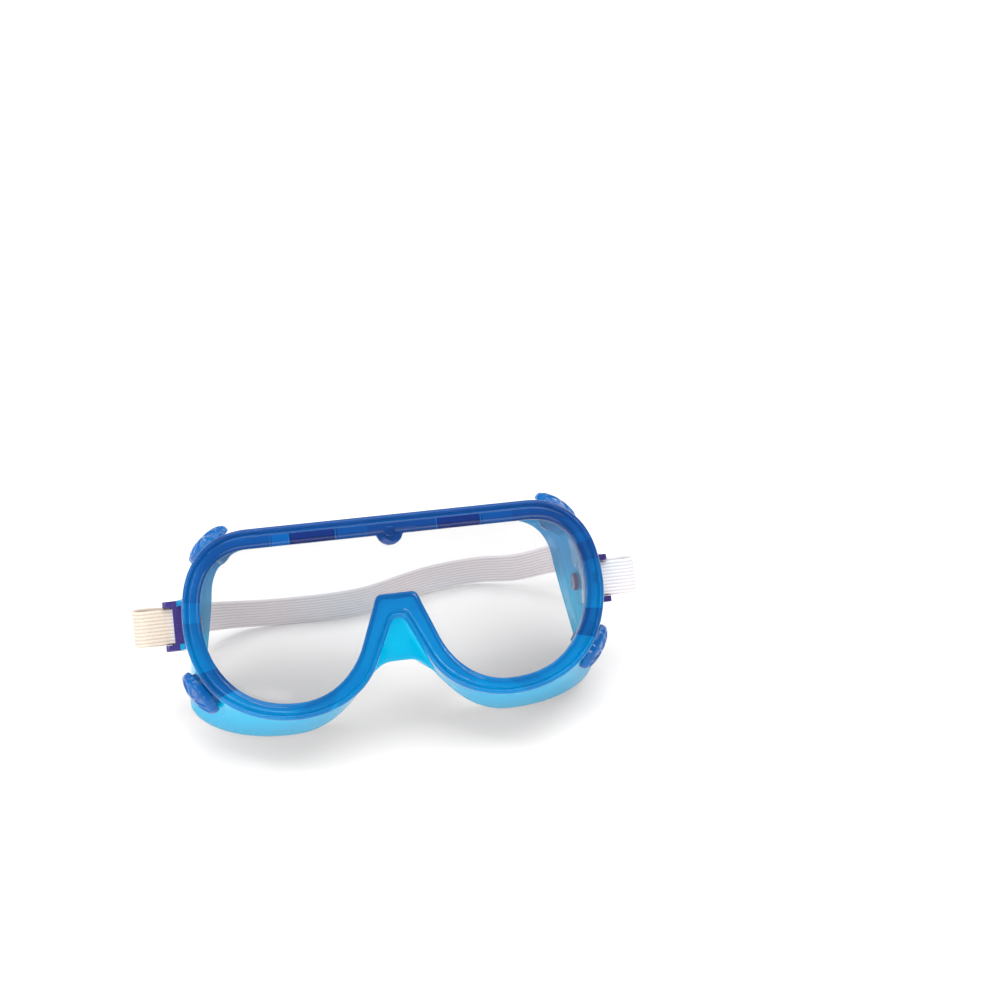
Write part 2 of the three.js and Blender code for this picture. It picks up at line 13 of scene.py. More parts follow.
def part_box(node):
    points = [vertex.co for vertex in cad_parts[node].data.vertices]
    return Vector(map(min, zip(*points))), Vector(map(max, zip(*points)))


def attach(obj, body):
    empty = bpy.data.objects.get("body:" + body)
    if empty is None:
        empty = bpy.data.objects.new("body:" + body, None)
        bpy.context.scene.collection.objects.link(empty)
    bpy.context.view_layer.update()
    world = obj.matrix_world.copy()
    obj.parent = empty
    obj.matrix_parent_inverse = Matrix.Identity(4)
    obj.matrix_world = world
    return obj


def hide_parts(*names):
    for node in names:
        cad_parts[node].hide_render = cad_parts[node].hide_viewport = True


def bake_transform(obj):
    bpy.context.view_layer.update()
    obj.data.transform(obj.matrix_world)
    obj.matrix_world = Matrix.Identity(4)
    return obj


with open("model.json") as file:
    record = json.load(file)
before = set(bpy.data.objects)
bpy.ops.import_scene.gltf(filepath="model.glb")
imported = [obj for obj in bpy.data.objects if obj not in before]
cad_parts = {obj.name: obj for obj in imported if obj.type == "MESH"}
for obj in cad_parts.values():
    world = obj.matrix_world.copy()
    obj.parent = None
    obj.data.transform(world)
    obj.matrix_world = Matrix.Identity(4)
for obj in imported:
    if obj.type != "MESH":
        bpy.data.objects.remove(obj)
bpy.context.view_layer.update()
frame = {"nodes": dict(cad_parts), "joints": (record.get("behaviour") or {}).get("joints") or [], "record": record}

# Sizes of the goggles, in millimetres, in the frame's own upright drawing: +X to the side,
# +Y from the front face back to the wearer, +Z up. Zero is RIM_TOP below the top of the rim.
MM = 0.001
FIT_GAP = 0.3
SAME_POINT = 1e-4
SAME_PLANE = 1e-3

# The rim, its window and the groove that holds the lens.
RIM_WIDTH = 150
RIM_TOP = 16.5
RIM_BOTTOM = 52
RIM_DEPTH = 8
RIM_STEP = 0.8
BAND_TOP = 7.3
BAND_SIDE = 7.2
BAND_BOTTOM = 6
LIP_THICKNESS = 2.4
NOSE_VEE = 20.5
NOSE_BAND = 8.9
LENS_THICKNESS = 1.6
LENS_HOLD = 1.9
LENS_ROUND = 0.2
GROOVE_ROUND = 0.2
REAR_LIP_SETBACK = 0.4
REAR_LIP_ROUND = 0.3
HALF = RIM_WIDTH / 2
LOBE_X = HALF / 2 + 0.5                 # the middle of the lower edge of each lens lobe
CORNER_X = HALF - 25                    # where the straight top ends

# The skirt and the face seal.
TOP_DEPTH = 28
TEMPLE_DEPTH = 46
CHEEK_DEPTH = 30.5
NOSE_DEPTH = 13.3
BROW_RISE = 1.5
TEMPLE_INSET = 4
CHEEK_DROP = 6
CHEEK_SPREAD = 6
NOSE_SWEEP = 15.3
LEAN = math.radians(40)
WALL = 2
SEAL_WIDTH = 6

# The brow tab and its pin.
TAB_RADIUS = 4.8
TAB_DROP = 3.8
TAB_REACH = 9.5
TAB_EDGE = 0.9
TAB_SINK = 0.45
PIN_RADIUS = 2
PIN_HEIGHT = 0.8

# The vents: flats pressed into the skirt, bosses, seats and turning caps.
VENT_DEPTH = 18.2
TOP_FACET = 3
LOW_FACET = 3.4
FACET_REACH = 15
FACE_CLEAR = 4                          # the least skirt behind the vents
BOSS_RADIUS = 7.5
BOSS_HEIGHT = 1.5
BOSS_ROOT = 3.6
SEAT_RADIUS = 5
SEAT_FLANGE_THICKNESS = 1
SEAT_LENGTH = 4.4
STEM_RADIUS = 1.9
BARB_RADIUS = 2.6
BARB_LENGTH = 1.4
CAP_RADIUS = 9
CAP_SKIRT = 0.8
CAP_EDGE = 1.6
CAP_HEIGHT = 4.4
CAP_UNDERSIDE = FIT_GAP + SEAT_FLANGE_THICKNESS + 1
PETALS = 8
STEPS_PER_PETAL = 8
PETAL_HUB = 3
PETAL_BORDER = 1
PETAL_RIB = 0.125                       # half a rib between petals, as a share of the pitch
PETAL_EDGE = 0.35
PETAL_SINK = 0.6
NOTCH_DEPTH = 0.45
NOTCH_HALF = 0.16                       # half a notch in the cap's edge, as a share of the pitch

# The elastic strap.
STRAP_WIDTH = 13
STRAP_THICKNESS = 1.1
STRAP_RIBS = 10
STEPS_PER_RIB = 4
RIB_VALLEY = 0.62                       # thickness between two ribs, as a share of the strap's
BAR_RADIUS = 1.1
STRAP_MID = BAR_RADIUS + FIT_GAP + STRAP_THICKNESS / 2
STRAP_TAIL = 7.2
STRAP_SPLIT = 8
STRAP_STEP = 1.2                        # between points of its route on a clip
FREE_STEP = 1.3                         # and on its free length
BAR_TURNS = 16                          # steps round a bar
UPRIGHT_SHARE = 0.1                     # share of the strap, from an end, that stands upright
LEAN_SHARE = 0.17                       # and the share over which it then turns

# The strap clips and the channels they sit on.
CLIP_PLATE = 1.2
CLIP_EAR = 2.2
CLIP_FRONT = 1.6
CLIP_DEPTH = 30
CLIP_SLOPE = math.radians(2.1)
CLIP_ROUND = 0.3
PAD_HEIGHT = 1.4
PAD_BACKING = 0.8
PAD_MARGIN = 1
PLATE_TAIL = 3
RIDGE_START = 4
RIDGE_RISE = 2.6
STUD_RADIUS = 2.2
CLIP_BACK = STRAP_MID + STRAP_THICKNESS / 2 + FIT_GAP
CLIP_OUT = PAD_HEIGHT + FIT_GAP + CLIP_PLATE + CLIP_BACK
EAR_IN = STRAP_WIDTH / 2 + FIT_GAP
CLIP_HALF_HEIGHT = EAR_IN + CLIP_EAR

# Steps of the frame's mesh along each curve from the top middle to the nose, sides of its round
# parts, the rounding of its bosses and channels, and the angle from which an edge looks sharp.
CURVE_STEPS = [14, 24, 20, 20, 20, 14, 8, 3]
BOSS_SIDES = 56
MOULD_ROUND = 0.5
CREASE = math.radians(32)


# ---- the goggles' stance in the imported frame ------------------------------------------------

def upright_to_world():
    """From the upright drawing, in millimetres, to the leaning goggles, in metres."""
    mount = frame["record"]["mounts"][0]
    depth = -Vector(mount["axis"])
    side = Vector((1, 0, 0))
    up = side.cross(depth)
    middle_of_band = RIM_TOP - BAND_TOP / 2
    origin = Vector(mount["pos_m"]) - side * mount["pos_m"][0] - up * middle_of_band * MM
    turn = Matrix((side, depth, up)).transposed().to_4x4()
    return Matrix.Translation(origin) @ turn @ Matrix.Scale(MM, 4)


STANCE = upright_to_world()
UPRIGHT = STANCE.inverted()
LEANING = STANCE.to_3x3().normalized()


def joint(name):
    """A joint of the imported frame."""
    return next(j for j in frame["joints"] if j["name"] == name)


def vent_places():
    """Each vent's frame, +Z along its axis and zero on the boss's face, in the upright drawing."""
    places = {}
    for found in frame["joints"]:
        if not found["name"].startswith("vent_cap_"):
            continue
        axis = LEANING.transposed() @ Vector(found["axis"])
        turn = axis.to_track_quat("Z", "Y").to_matrix().to_4x4()
        places[found["child"]] = Matrix.Translation(UPRIGHT @ Vector(found["pos_m"])) @ turn
    return places


VENTS = vent_places()


def clip_place(side):
    """A clip's frame, its strap bar along Z, +X outwards and +Y back along the skirt."""
    swing = joint("headband_swing")
    wrap = STRAP_MID + STRAP_THICKNESS / 2
    bar_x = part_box("strap_end_right")[0].x / MM + wrap
    bar = UPRIGHT @ Vector((0, swing["pos_m"][1], swing["pos_m"][2]))
    place = Matrix.Translation((bar_x, bar.y, bar.z)) @ Matrix.Rotation(-CLIP_SLOPE, 4, "Z")
    if side > 0:
        return place
    half_turn = Matrix.Translation((0, 0, 2 * bar.z)) @ Matrix.Rotation(math.pi, 4, "Y")
    return half_turn @ place


# ---- mesh helpers ---------------------------------------------------------------------------

def finished(name, bm, stance=STANCE, crease=CREASE):
    """A mesh object in its place, smooth except along edges sharper than crease."""
    bmesh.ops.transform(bm, matrix=stance, verts=bm.verts)
    mark_creases(bm, crease)
    mesh = bpy.data.meshes.new(name)
    bm.to_mesh(mesh)
    bm.free()
    obj = bpy.data.objects.new(name, mesh)
    bpy.context.scene.collection.objects.link(obj)
    return obj


def mark_creases(bm, crease):
    """Smooth shading everywhere, except over edges sharper than crease."""
    for face in bm.faces:
        face.smooth = True
    for edge in bm.edges:
        edge.smooth = edge.calc_face_angle(0) < crease


def recreased(obj):
    """Marks the sharp edges of a mesh again, after pieces were joined to it and cut from it."""
    bm = bmesh.new()
    bm.from_mesh(obj.data)
    mark_creases(bm, CREASE)
    bm.to_mesh(obj.data)
    bm.free()


def wrapped_grid(bm, across, along, place, uv_at=None):
    """A grid whose columns wrap round a section and whose rows run along a route."""
    made = bmesh.ops.create_grid(bm, x_segments=across, y_segments=along, size=1)
    index = {}
    for v in made["verts"]:
        column = round((v.co.x + 1) / 2 * across)
        row = round((v.co.y + 1) / 2 * along)
        index[v] = (row, column)
    if uv_at:
        layer = bm.loops.layers.uv.new("along_strap")
        for face in bm.faces:
            for loop in face.loops:
                loop[layer].uv = uv_at(*index[loop.vert])
    for v, (row, column) in index.items():
        v.co = place(row, column)
    bmesh.ops.remove_doubles(bm, verts=bm.verts, dist=SAME_POINT)


def applied(obj, kind, **settings):
    """Adds a modifier to an object and applies it."""
    modifier = obj.modifiers.new(kind.title(), kind)
    for key, value in settings.items():
        setattr(modifier, key, value)
    bpy.context.view_layer.update()
    graph = bpy.context.evaluated_depsgraph_get()
    mesh = bpy.data.meshes.new_from_object(obj.evaluated_get(graph))
    obj.modifiers.clear()
    old = obj.data
    obj.data = mesh
    bpy.data.meshes.remove(old)


def unique(found):
    """Each item once, in the order found."""
    return list(dict.fromkeys(found))


def post(bm, radius, low, high, sides, place, bevel=0.0):
    """A cylinder along its own Z from low to high, its far edge rounded by bevel."""
    shift = Matrix.Translation((0, 0, (low + high) / 2))
    made = bmesh.ops.create_cone(
        bm, cap_ends=True, segments=sides, radius1=radius, radius2=radius,
        depth=high - low, matrix=place @ shift)
    if bevel:
        top = place @ Vector((0, 0, high))
        axis = (place.to_3x3() @ Vector((0, 0, 1))).normalized()
        far_edges = [
            e for e in unique(e for v in made["verts"] for e in v.link_edges)
            if all(abs((u.co - top).dot(axis)) < SAME_PLANE for u in e.verts)
        ]
        bmesh.ops.bevel(
            bm, geom=far_edges, offset=bevel, offset_type="OFFSET", segments=4, profile=0.5,
            affect="EDGES", material=-1)


def block(bm, low, high, place, bevel):
    """A box between two corners, its edges rounded by bevel."""
    low, high = Vector(low), Vector(high)
    size = Matrix.Diagonal((*(high - low), 1))
    middle = Matrix.Translation((low + high) / 2)
    made = bmesh.ops.create_cube(bm, size=1, matrix=place @ middle @ size)
    edges = unique(e for v in made["verts"] for e in v.link_edges)
    bmesh.ops.bevel(
        bm, geom=edges, offset=bevel, offset_type="OFFSET", segments=3, profile=0.5,
        affect="EDGES", material=-1)


def prism(bm, outline, low, high, place):
    """An outline of [x, y] points pulled from low to high along the place's Z."""
    corners = [bm.verts.new(place @ Vector((x, y, low))) for x, y in outline]
    face = bm.faces.new(corners)
    pulled = bmesh.ops.extrude_face_region(bm, geom=[face])
    rise = place.to_3x3() @ Vector((0, 0, high - low))
    moved = [v for v in pulled["geom"] if isinstance(v, bmesh.types.BMVert)]
    bmesh.ops.translate(bm, verts=moved, vec=rise)
    group = unique(f for v in corners + moved for f in v.link_faces)
    bmesh.ops.recalc_face_normals(bm, faces=group)


# ---- the loops that the frame follows -------------------------------------------------------

def half_loop(start, pieces):
    """Cubic pieces of [first handle, second handle, end] from the top middle to the nose."""
    points = [Vector(start)]
    for (first, second, end), steps in zip(pieces, CURVE_STEPS):
        handles = Vector(first), Vector(second), Vector(end)
        points.extend(interpolate_bezier(points[-1], *handles, steps + 1)[1:])
    return points


def straight(start, end):
    """The handles and end of a piece that is a straight line."""
    a, b = Vector(start), Vector(end)
    return [a.lerp(b, 1 / 3), a.lerp(b, 2 / 3), b]


def mirrored(half):
    """A whole loop from its +X half."""
    return half + [Vector((-p.x, p.y, p.z)) for p in reversed(half[1:-1])]


def rim_loop():
    """The outer edge of the rim, at the front."""
    top, low, vee = RIM_TOP, -RIM_BOTTOM, -NOSE_VEE
    return mirrored(half_loop((0, 0, top), [
        straight((0, 0, top), (CORNER_X, 0, top)),
        [(HALF - 13, 0, top), (HALF - 3.5, 0, top - 7.5), (HALF - 1, 0, top - 20.5)],
        [(HALF + 0.6, 0, top - 29), (HALF + 1.3, 0, low + 28), (HALF - 5.5, 0, low + 16)],
        [(HALF - 11.3, 0, low + 6), (LOBE_X + 13, 0, low), (LOBE_X, 0, low)],
        [(LOBE_X - 12, 0, low), (14.5, 0, vee - 26), (9.5, 0, vee - 16)],
        straight((9.5, 0, vee - 16), (3.2, 0, vee - 2.5)),
        [(2.5, 0, vee - 1), (1.8, 0, vee - 0.2), (0.8, 0, vee)],
        straight((0.8, 0, vee), (0, 0, vee)),
    ]))


def window_loop():
    """The edge of the window, at the front."""
    top, low = RIM_TOP - BAND_TOP, BAND_BOTTOM - RIM_BOTTOM
    side, flat = HALF - BAND_SIDE, NOSE_BAND - NOSE_VEE
    return mirrored(half_loop((0, 0, top), [
        straight((0, 0, top), (CORNER_X, 0, top)),
        [(HALF - 15.5, 0, top), (side - 2, 0, top - 4.7), (side, 0, top - 15.2)],
        [(side + 1.3, 0, top - 22), (side + 1, 0, low + 23), (side - 3.5, 0, low + 15)],
        [(side - 9, 0, low + 5), (LOBE_X + 12, 0, low), (LOBE_X - 0.5, 0, low)],
        [(LOBE_X - 12, 0, low), (18, 0, flat - 27), (14, 0, flat - 18)],
        straight((14, 0, flat - 18), (8.3, 0, flat - 3.4)),
        [(7.6, 0, flat - 0.9), (6.8, 0, flat), (5.4, 0, flat)],
        straight((5.4, 0, flat), (0, 0, flat)),
    ]))


def face_loop():
    """The edge of the skirt that meets the face."""
    top, low = RIM_TOP + BROW_RISE, -(RIM_BOTTOM + CHEEK_DROP)
    arch, side = -(NOSE_VEE + NOSE_SWEEP), HALF - TEMPLE_INSET
    back, cheek, nose = TEMPLE_DEPTH, CHEEK_DEPTH, NOSE_DEPTH

    def rest(z):
        """The depth at which the leaning cheek touches what the goggles stand on."""
        return cheek + (z - low) / math.tan(LEAN)

    wide = side + CHEEK_SPREAD
    corner = (wide, rest(low + 13.8), low + 13.8)
    return mirrored(half_loop((0, TOP_DEPTH, top), [
        [(18, TOP_DEPTH, top), (34, back - 13.5, top + 1), (HALF - 28, back - 9, top + 1)],
        [(HALF - 15, back - 4.5, top + 1), (side - 1.5, back - 1, top - 6), (side, back, top - 19)],
        [(side + 0.8, back + 0.6, top - 29), (wide + 2.2, rest(low + 18.5) - 0.5, low + 18.5), corner],
        [(wide - 3.4, rest(low + 7), low + 7), (LOBE_X + 23, cheek, low), (LOBE_X + 2.5, cheek, low)],
        [(LOBE_X - 10, cheek - 1, low), (20.5, nose + 11, arch - 15), (14.5, nose + 7.5, arch - 8.2)],
        [(13.3, nose + 6.8, arch - 6.9), (12.2, nose + 5.8, arch - 5.4), (11, nose + 4.7, arch - 4)],
        [(9, nose + 2.9, arch - 1.7), (6.5, nose + 0.8, arch - 0.1), (3.5, nose + 0.2, arch)],
        straight((3.5, nose + 0.2, arch), (0, nose, arch)),
    ]))


RIM, WINDOW, FACE = rim_loop(), window_loop(), face_loop()
STATIONS = len(RIM)
INWARD = [(w - r).normalized() for r, w in zip(RIM, WINDOW)]
SKIRT_START = [r + n * RIM_STEP + Vector((0, RIM_DEPTH, 0)) for r, n in zip(RIM, INWARD)]
REARWARD = [(f - s).normalized() for f, s in zip(FACE, SKIRT_START)]


def wall_inward(loop, i):
    """Square to the skirt at a station of a loop round it, pointing into the goggles."""
    along = loop[(i + 1) % STATIONS] - loop[i - 1]
    return REARWARD[i].cross(along).normalized()


def smoothstep(t):
    """A smooth rise from 0 to 1."""
    t = min(max(t, 0), 1)
    return t * t * (3 - 2 * t)


def half_way():
    """The skirt half way back, pressed in to a flat where each vent stands."""
    middle = []
    for start, end in zip(SKIRT_START, FACE):
        share = 0.5
        if end.y > VENT_DEPTH + FACE_CLEAR:
            share = (VENT_DEPTH - RIM_DEPTH) / (end.y - RIM_DEPTH)
        middle.append(start.lerp(end, share))
    facets = []
    for name, place in VENTS.items():
        depth = TOP_FACET if "top" in name else LOW_FACET
        root = place @ Vector((0, 0, -BOSS_HEIGHT))
        sunk = [(p + wall_inward(middle, i) * depth - root).length for i, p in enumerate(middle)]
        facets.append((middle[sunk.index(min(sunk))], depth))
    pressed = []
    for i, p in enumerate(middle):
        moved = p.copy()
        for centre, depth in facets:
            away = math.hypot(p.x - centre.x, p.z - centre.z) / FACET_REACH
            moved += wall_inward(middle, i) * depth * (1 - smoothstep(away))
        pressed.append(moved)
    return middle, pressed


MIDDLE, PRESSED = half_way()


# The front of the rim in section, as how far in from the rim's edge or out from the window's,
# and how far back from the front face.
OUTER_BEAD = [
    (0, RIM_DEPTH - 0.5), (0, 1.7), (0.25, 0.8), (0.75, 0.2), (1.35, 0.1), (1.8, 0.4), (2.0, 1.0),
    (2.3, 1.15), (2.6, 0.6), (3.0, 0.35),
]
INNER_BEAD = [
    (1.5, 0.35), (1.15, 0.2), (0.8, 0.02), (0.35, 0.05), (0, 0.5), (0, LIP_THICKNESS - 0.3),
    (0.25, LIP_THICKNESS),
]


def lens_groove():
    """The groove behind the front lip and the step behind it, as INNER_BEAD."""
    front = LIP_THICKNESS
    back = LIP_THICKNESS + LENS_THICKNESS + 2 * FIT_GAP
    deepest = LENS_HOLD + FIT_GAP
    rear = REAR_LIP_SETBACK
    return [
        (deepest - GROOVE_ROUND, front), (deepest, front + GROOVE_ROUND),
        (deepest, back - GROOVE_ROUND), (deepest - GROOVE_ROUND, back),
        (rear + REAR_LIP_ROUND, back), (rear, back + REAR_LIP_ROUND),
        (rear, RIM_DEPTH - 0.9), (rear + 0.4, RIM_DEPTH - 0.3),
    ]


def along_wall(start, end, shares):
    return [start.lerp(end, share) for share in shares]


def frame_section(i):
    """The frame's section at a station: beaded rim, flat band, lens groove, skirt and face seal."""
    def outer(inset, y):
        return RIM[i] + INWARD[i] * inset + Vector((0, y, 0))

    def edge(outset, y):
        return WINDOW[i] - INWARD[i] * outset + Vector((0, y, 0))

    into_face = wall_inward(FACE, i)

    def back(forward, into):
        return FACE[i] - REARWARD[i] * forward + into_face * into

    inner_start = SKIRT_START[i] + wall_inward(SKIRT_START, i) * WALL
    inner_middle = PRESSED[i] + wall_inward(MIDDLE, i) * WALL
    return [
        *[outer(inset, y) for inset, y in OUTER_BEAD],
        *[edge(outset, y) for outset, y in INNER_BEAD + lens_groove()],
        inner_start.lerp(edge(REAR_LIP_SETBACK, RIM_DEPTH), 0.15),
        *along_wall(inner_start, inner_middle, (0.05, 0.3, 0.65, 1)),
        *along_wall(inner_middle, back(WALL, WALL), (0.35, 0.7, 0.97)),
        back(WALL * 0.75, WALL + 0.8), back(WALL / 2, SEAL_WIDTH - 0.5), back(WALL / 3, SEAL_WIDTH),
        back(0, SEAL_WIDTH - 0.3), back(0, WALL), back(0.1, 0.4), back(0.6, 0),
        *along_wall(FACE[i], PRESSED[i], (0.3, 0.65, 1)),
        *along_wall(PRESSED[i], SKIRT_START[i], (0.35, 0.7, 0.97)),
        SKIRT_START[i].lerp(outer(0, RIM_DEPTH), 0.3),
        outer(0.15, RIM_DEPTH - 0.1),
    ]


# ---- pieces ---------------------------------------------------------------------------------

def pulled_back(bm, corners, depth):
    """A sheet with these corners, pulled back along the drawing's Y."""
    pulled = bmesh.ops.extrude_face_region(bm, geom=[bm.faces.new(corners)])
    moved = [v for v in pulled["geom"] if isinstance(v, bmesh.types.BMVert)]
    bmesh.ops.translate(bm, verts=moved, vec=(0, depth, 0))
    bmesh.ops.recalc_face_normals(bm, faces=bm.faces)


def tool(name, places, shape):
    """One shape at each of several places, to be joined to the moulding or cut from it."""
    bm = bmesh.new()
    for place in places:
        shape(bm, place)
    return finished(name, bm, Matrix())


def boss(bm, place):
    """The round stand of a vent."""
    post(bm, BOSS_RADIUS, -BOSS_HEIGHT - BOSS_ROOT, 0, BOSS_SIDES, place, bevel=MOULD_ROUND)


def channel(bm, place):
    """A raised pad from the rim to a clip."""
    outer = PAD_HEIGHT - CLIP_OUT
    front = RIM_DEPTH - CLIP_DEPTH + PAD_MARGIN
    block(bm, (outer - PAD_HEIGHT - WALL - PAD_BACKING, front, -CLIP_HALF_HEIGHT),
          (outer, PLATE_TAIL + PAD_MARGIN, CLIP_HALF_HEIGHT), place, bevel=MOULD_ROUND)


def ridges(bm, place):
    """Two wedges that rise along a channel in line with the clip's ears."""
    top = PAD_HEIGHT - CLIP_OUT
    root = top - PAD_HEIGHT
    front = RIM_DEPTH - CLIP_DEPTH + RIDGE_START
    clip_front = -STRAP_MID - STRAP_THICKNESS / 2 - 2 * FIT_GAP - CLIP_FRONT
    wedge = [(root, front), (top + RIDGE_RISE, clip_front), (root, clip_front)]
    for low in (EAR_IN, -EAR_IN - CLIP_EAR):
        prism(bm, wedge, low, low + CLIP_EAR, place)


def brow_tab(bm, place):
    """A filleted lobe over the lens with a raised edge; place is the lobe's centre."""
    edge_z = TAB_DROP - TAB_RADIUS
    lobe = [TAB_RADIUS * Vector((math.cos(a), 0, math.sin(a)))
            for a in (math.radians(d) for d in range(-20, -161, -10))]
    fillet = interpolate_bezier(
        lobe[-1], lobe[-1] + Vector((-0.4, 0, 1.4)), Vector((-6.6, 0, edge_z + 0.2)),
        Vector((-TAB_REACH, 0, edge_z + 0.8)), 7)
    left = [*fillet[1:], Vector((-TAB_REACH, 0, edge_z + 2))]
    right = [Vector((-p.x, p.y, p.z)) for p in reversed(left)]
    just_behind = Vector((0, 0.05, 0))
    corners = [bm.verts.new(place @ (p + just_behind)) for p in [*right[1:], *lobe, *left, right[0]]]
    pulled_back(bm, corners, LIP_THICKNESS)
    front = [f for f in bm.faces if f.normal.y < -0.9]
    bmesh.ops.inset_region(
        bm, faces=front, thickness=TAB_EDGE, depth=-TAB_SINK, use_even_offset=True)


def brow_pin(bm, place):
    """The small round pin on the brow tab."""
    forward = place @ Matrix.Rotation(math.pi / 2, 4, "X")
    post(bm, PIN_RADIUS, -LIP_THICKNESS + 0.3, PIN_HEIGHT, 40, forward, bevel=0.45)


# The cutters below run past what they cut.

def seat_bore(bm, place):
    """The hole that a vent's seat fits."""
    post(bm, SEAT_RADIUS + FIT_GAP, -BOSS_HEIGHT - BOSS_ROOT - 4, 0.5, 48, place)


def boss_landing(bm, place):
    """What stands above a boss's face."""
    post(bm, BOSS_RADIUS + 0.02, 0, CAP_RADIUS, BOSS_SIDES, place)


def room_under_cap(bm, place):
    """Clearance for a vent's cap to turn in."""
    low = CAP_UNDERSIDE - CAP_SKIRT - FIT_GAP
    post(bm, CAP_RADIUS + FIT_GAP, low, CAP_RADIUS + 1, BOSS_SIDES, place)


def stud_hole(bm, place):
    """The hole that a strap clip's stud fits."""
    through = place @ Matrix.Rotation(math.pi / 2, 4, "Y")
    post(bm, STUD_RADIUS + FIT_GAP, -CLIP_OUT - 10, -CLIP_BACK, 32, through)


def frame_moulding():
    """The soft frame, in one piece with its bosses, channels and brow tab."""
    bm = bmesh.new()
    sections = [frame_section(i) for i in range(STATIONS)]
    across = len(sections[0])
    wrapped_grid(bm, across, STATIONS, lambda i, j: sections[i % STATIONS][j % across])
    bmesh.ops.recalc_face_normals(bm, faces=bm.faces)
    body = finished("frame_moulding", bm, Matrix())
    applied(body, "SUBSURF", levels=1, render_levels=1)
    clips = [clip_place(side) for side in (1, -1)]
    tab = [Matrix.Translation((0, 0, RIM_TOP - BAND_TOP + TAB_RADIUS - TAB_DROP))]
    steps = [
        ("UNION", boss, VENTS.values()),
        ("UNION", channel, clips),
        ("UNION", ridges, clips),
        ("UNION", brow_tab, tab),
        ("UNION", brow_pin, tab),
        ("DIFFERENCE", seat_bore, VENTS.values()),
        ("DIFFERENCE", boss_landing, VENTS.values()),
        ("DIFFERENCE", room_under_cap, VENTS.values()),
        ("DIFFERENCE", stud_hole, clips),
    ]
    for operation, shape, places in steps:
        made = tool(shape.__name__, places, shape)
        applied(body, "BOOLEAN", operation=operation, object=made, solver="MANIFOLD")
        bpy.data.objects.remove(made)
    body.data.transform(STANCE)
    recreased(body)
    return body


def lens_sheet():
    """The lens, its edges eased, held in the groove."""
    bm = bmesh.new()
    front = Vector((0, LIP_THICKNESS + FIT_GAP, 0))
    corners = [bm.verts.new(w - n * LENS_HOLD + front) for w, n in zip(WINDOW, INWARD)]
    pulled_back(bm, corners, LENS_THICKNESS)
    flat = [e for e in bm.edges if abs(e.verts[0].co.y - e.verts[1].co.y) < SAME_POINT]
    bmesh.ops.bevel(
        bm, geom=flat, offset=LENS_ROUND, offset_type="OFFSET", segments=2, profile=0.5,
        affect="EDGES", material=-1)
    return finished("lens_sheet", bm)


def vent_cap(name, place):
    """A turning cap: a barbed stem under a crowned disc with sunk petals and a scalloped edge."""
    bm = bmesh.new()
    under, crown = CAP_UNDERSIDE, CAP_UNDERSIDE + CAP_HEIGHT
    outline = [
        (0, -SEAT_LENGTH - BARB_LENGTH), (STEM_RADIUS - 0.3, -SEAT_LENGTH - BARB_LENGTH),
        (STEM_RADIUS, -SEAT_LENGTH - BARB_LENGTH + 0.3), (BARB_RADIUS, -SEAT_LENGTH - 0.1),
        (BARB_RADIUS - 0.1, -SEAT_LENGTH), (STEM_RADIUS, -SEAT_LENGTH), (STEM_RADIUS, under),
        (CAP_RADIUS - 1.4, under), (CAP_RADIUS - 1.4, under - CAP_SKIRT + 0.1),
        (CAP_RADIUS - 1.2, under - CAP_SKIRT), (CAP_RADIUS - 0.25, under - CAP_SKIRT),
        (CAP_RADIUS, under - CAP_SKIRT + 0.3), (CAP_RADIUS, under + CAP_EDGE - 0.4),
        (CAP_RADIUS - 0.35, under + CAP_EDGE + 0.35), (CAP_RADIUS - 1.2, under + CAP_EDGE + 1.1),
        (CAP_RADIUS - 2.6, crown - 1.05), (CAP_RADIUS - 4.3, crown - 0.5),
        (CAP_RADIUS - 6, crown - 0.18), (CAP_RADIUS - 7.3, crown - 0.04), (0, crown),
    ]
    verts = [bm.verts.new((r, 0, z)) for r, z in outline]
    edges = [bm.edges.new(pair) for pair in zip(verts, verts[1:])]
    bmesh.ops.spin(
        bm, geom=verts + edges, cent=(0, 0, 0), axis=(0, 0, 1), angle=math.tau,
        steps=PETALS * STEPS_PER_PETAL, use_merge=True)
    bmesh.ops.remove_doubles(bm, verts=bm.verts, dist=SAME_PLANE)
    bmesh.ops.recalc_face_normals(bm, faces=bm.faces)
    pitch = math.tau / PETALS
    petals = []
    for face in bm.faces:
        c = face.calc_center_median()
        r = math.hypot(c.x, c.y)
        angle = math.atan2(c.y, c.x) % pitch / pitch
        on_crown = c.z > under + CAP_EDGE + 0.4 and PETAL_HUB < r < CAP_RADIUS - PETAL_BORDER
        if on_crown and PETAL_RIB < angle < 1 - PETAL_RIB:
            petals.append(face)
    bmesh.ops.inset_region(
        bm, faces=petals, thickness=PETAL_EDGE, depth=-PETAL_SINK, use_even_offset=True)
    for v in bm.verts:
        r = math.hypot(v.co.x, v.co.y)
        if r > CAP_RADIUS - 1.45 and v.co.z > under - CAP_SKIRT - 0.1:
            angle = math.atan2(v.co.y, v.co.x) % pitch / pitch
            notch = NOTCH_DEPTH * (1 - smoothstep(min(angle, 1 - angle) / NOTCH_HALF))
            v.co.x *= 1 - notch / r
            v.co.y *= 1 - notch / r
    cap = finished(name, bm, STANCE @ place)
    soft = cap.modifiers.new("Soft edges", "SUBSURF")
    soft.levels = 1
    soft.render_levels = 1
    return cap


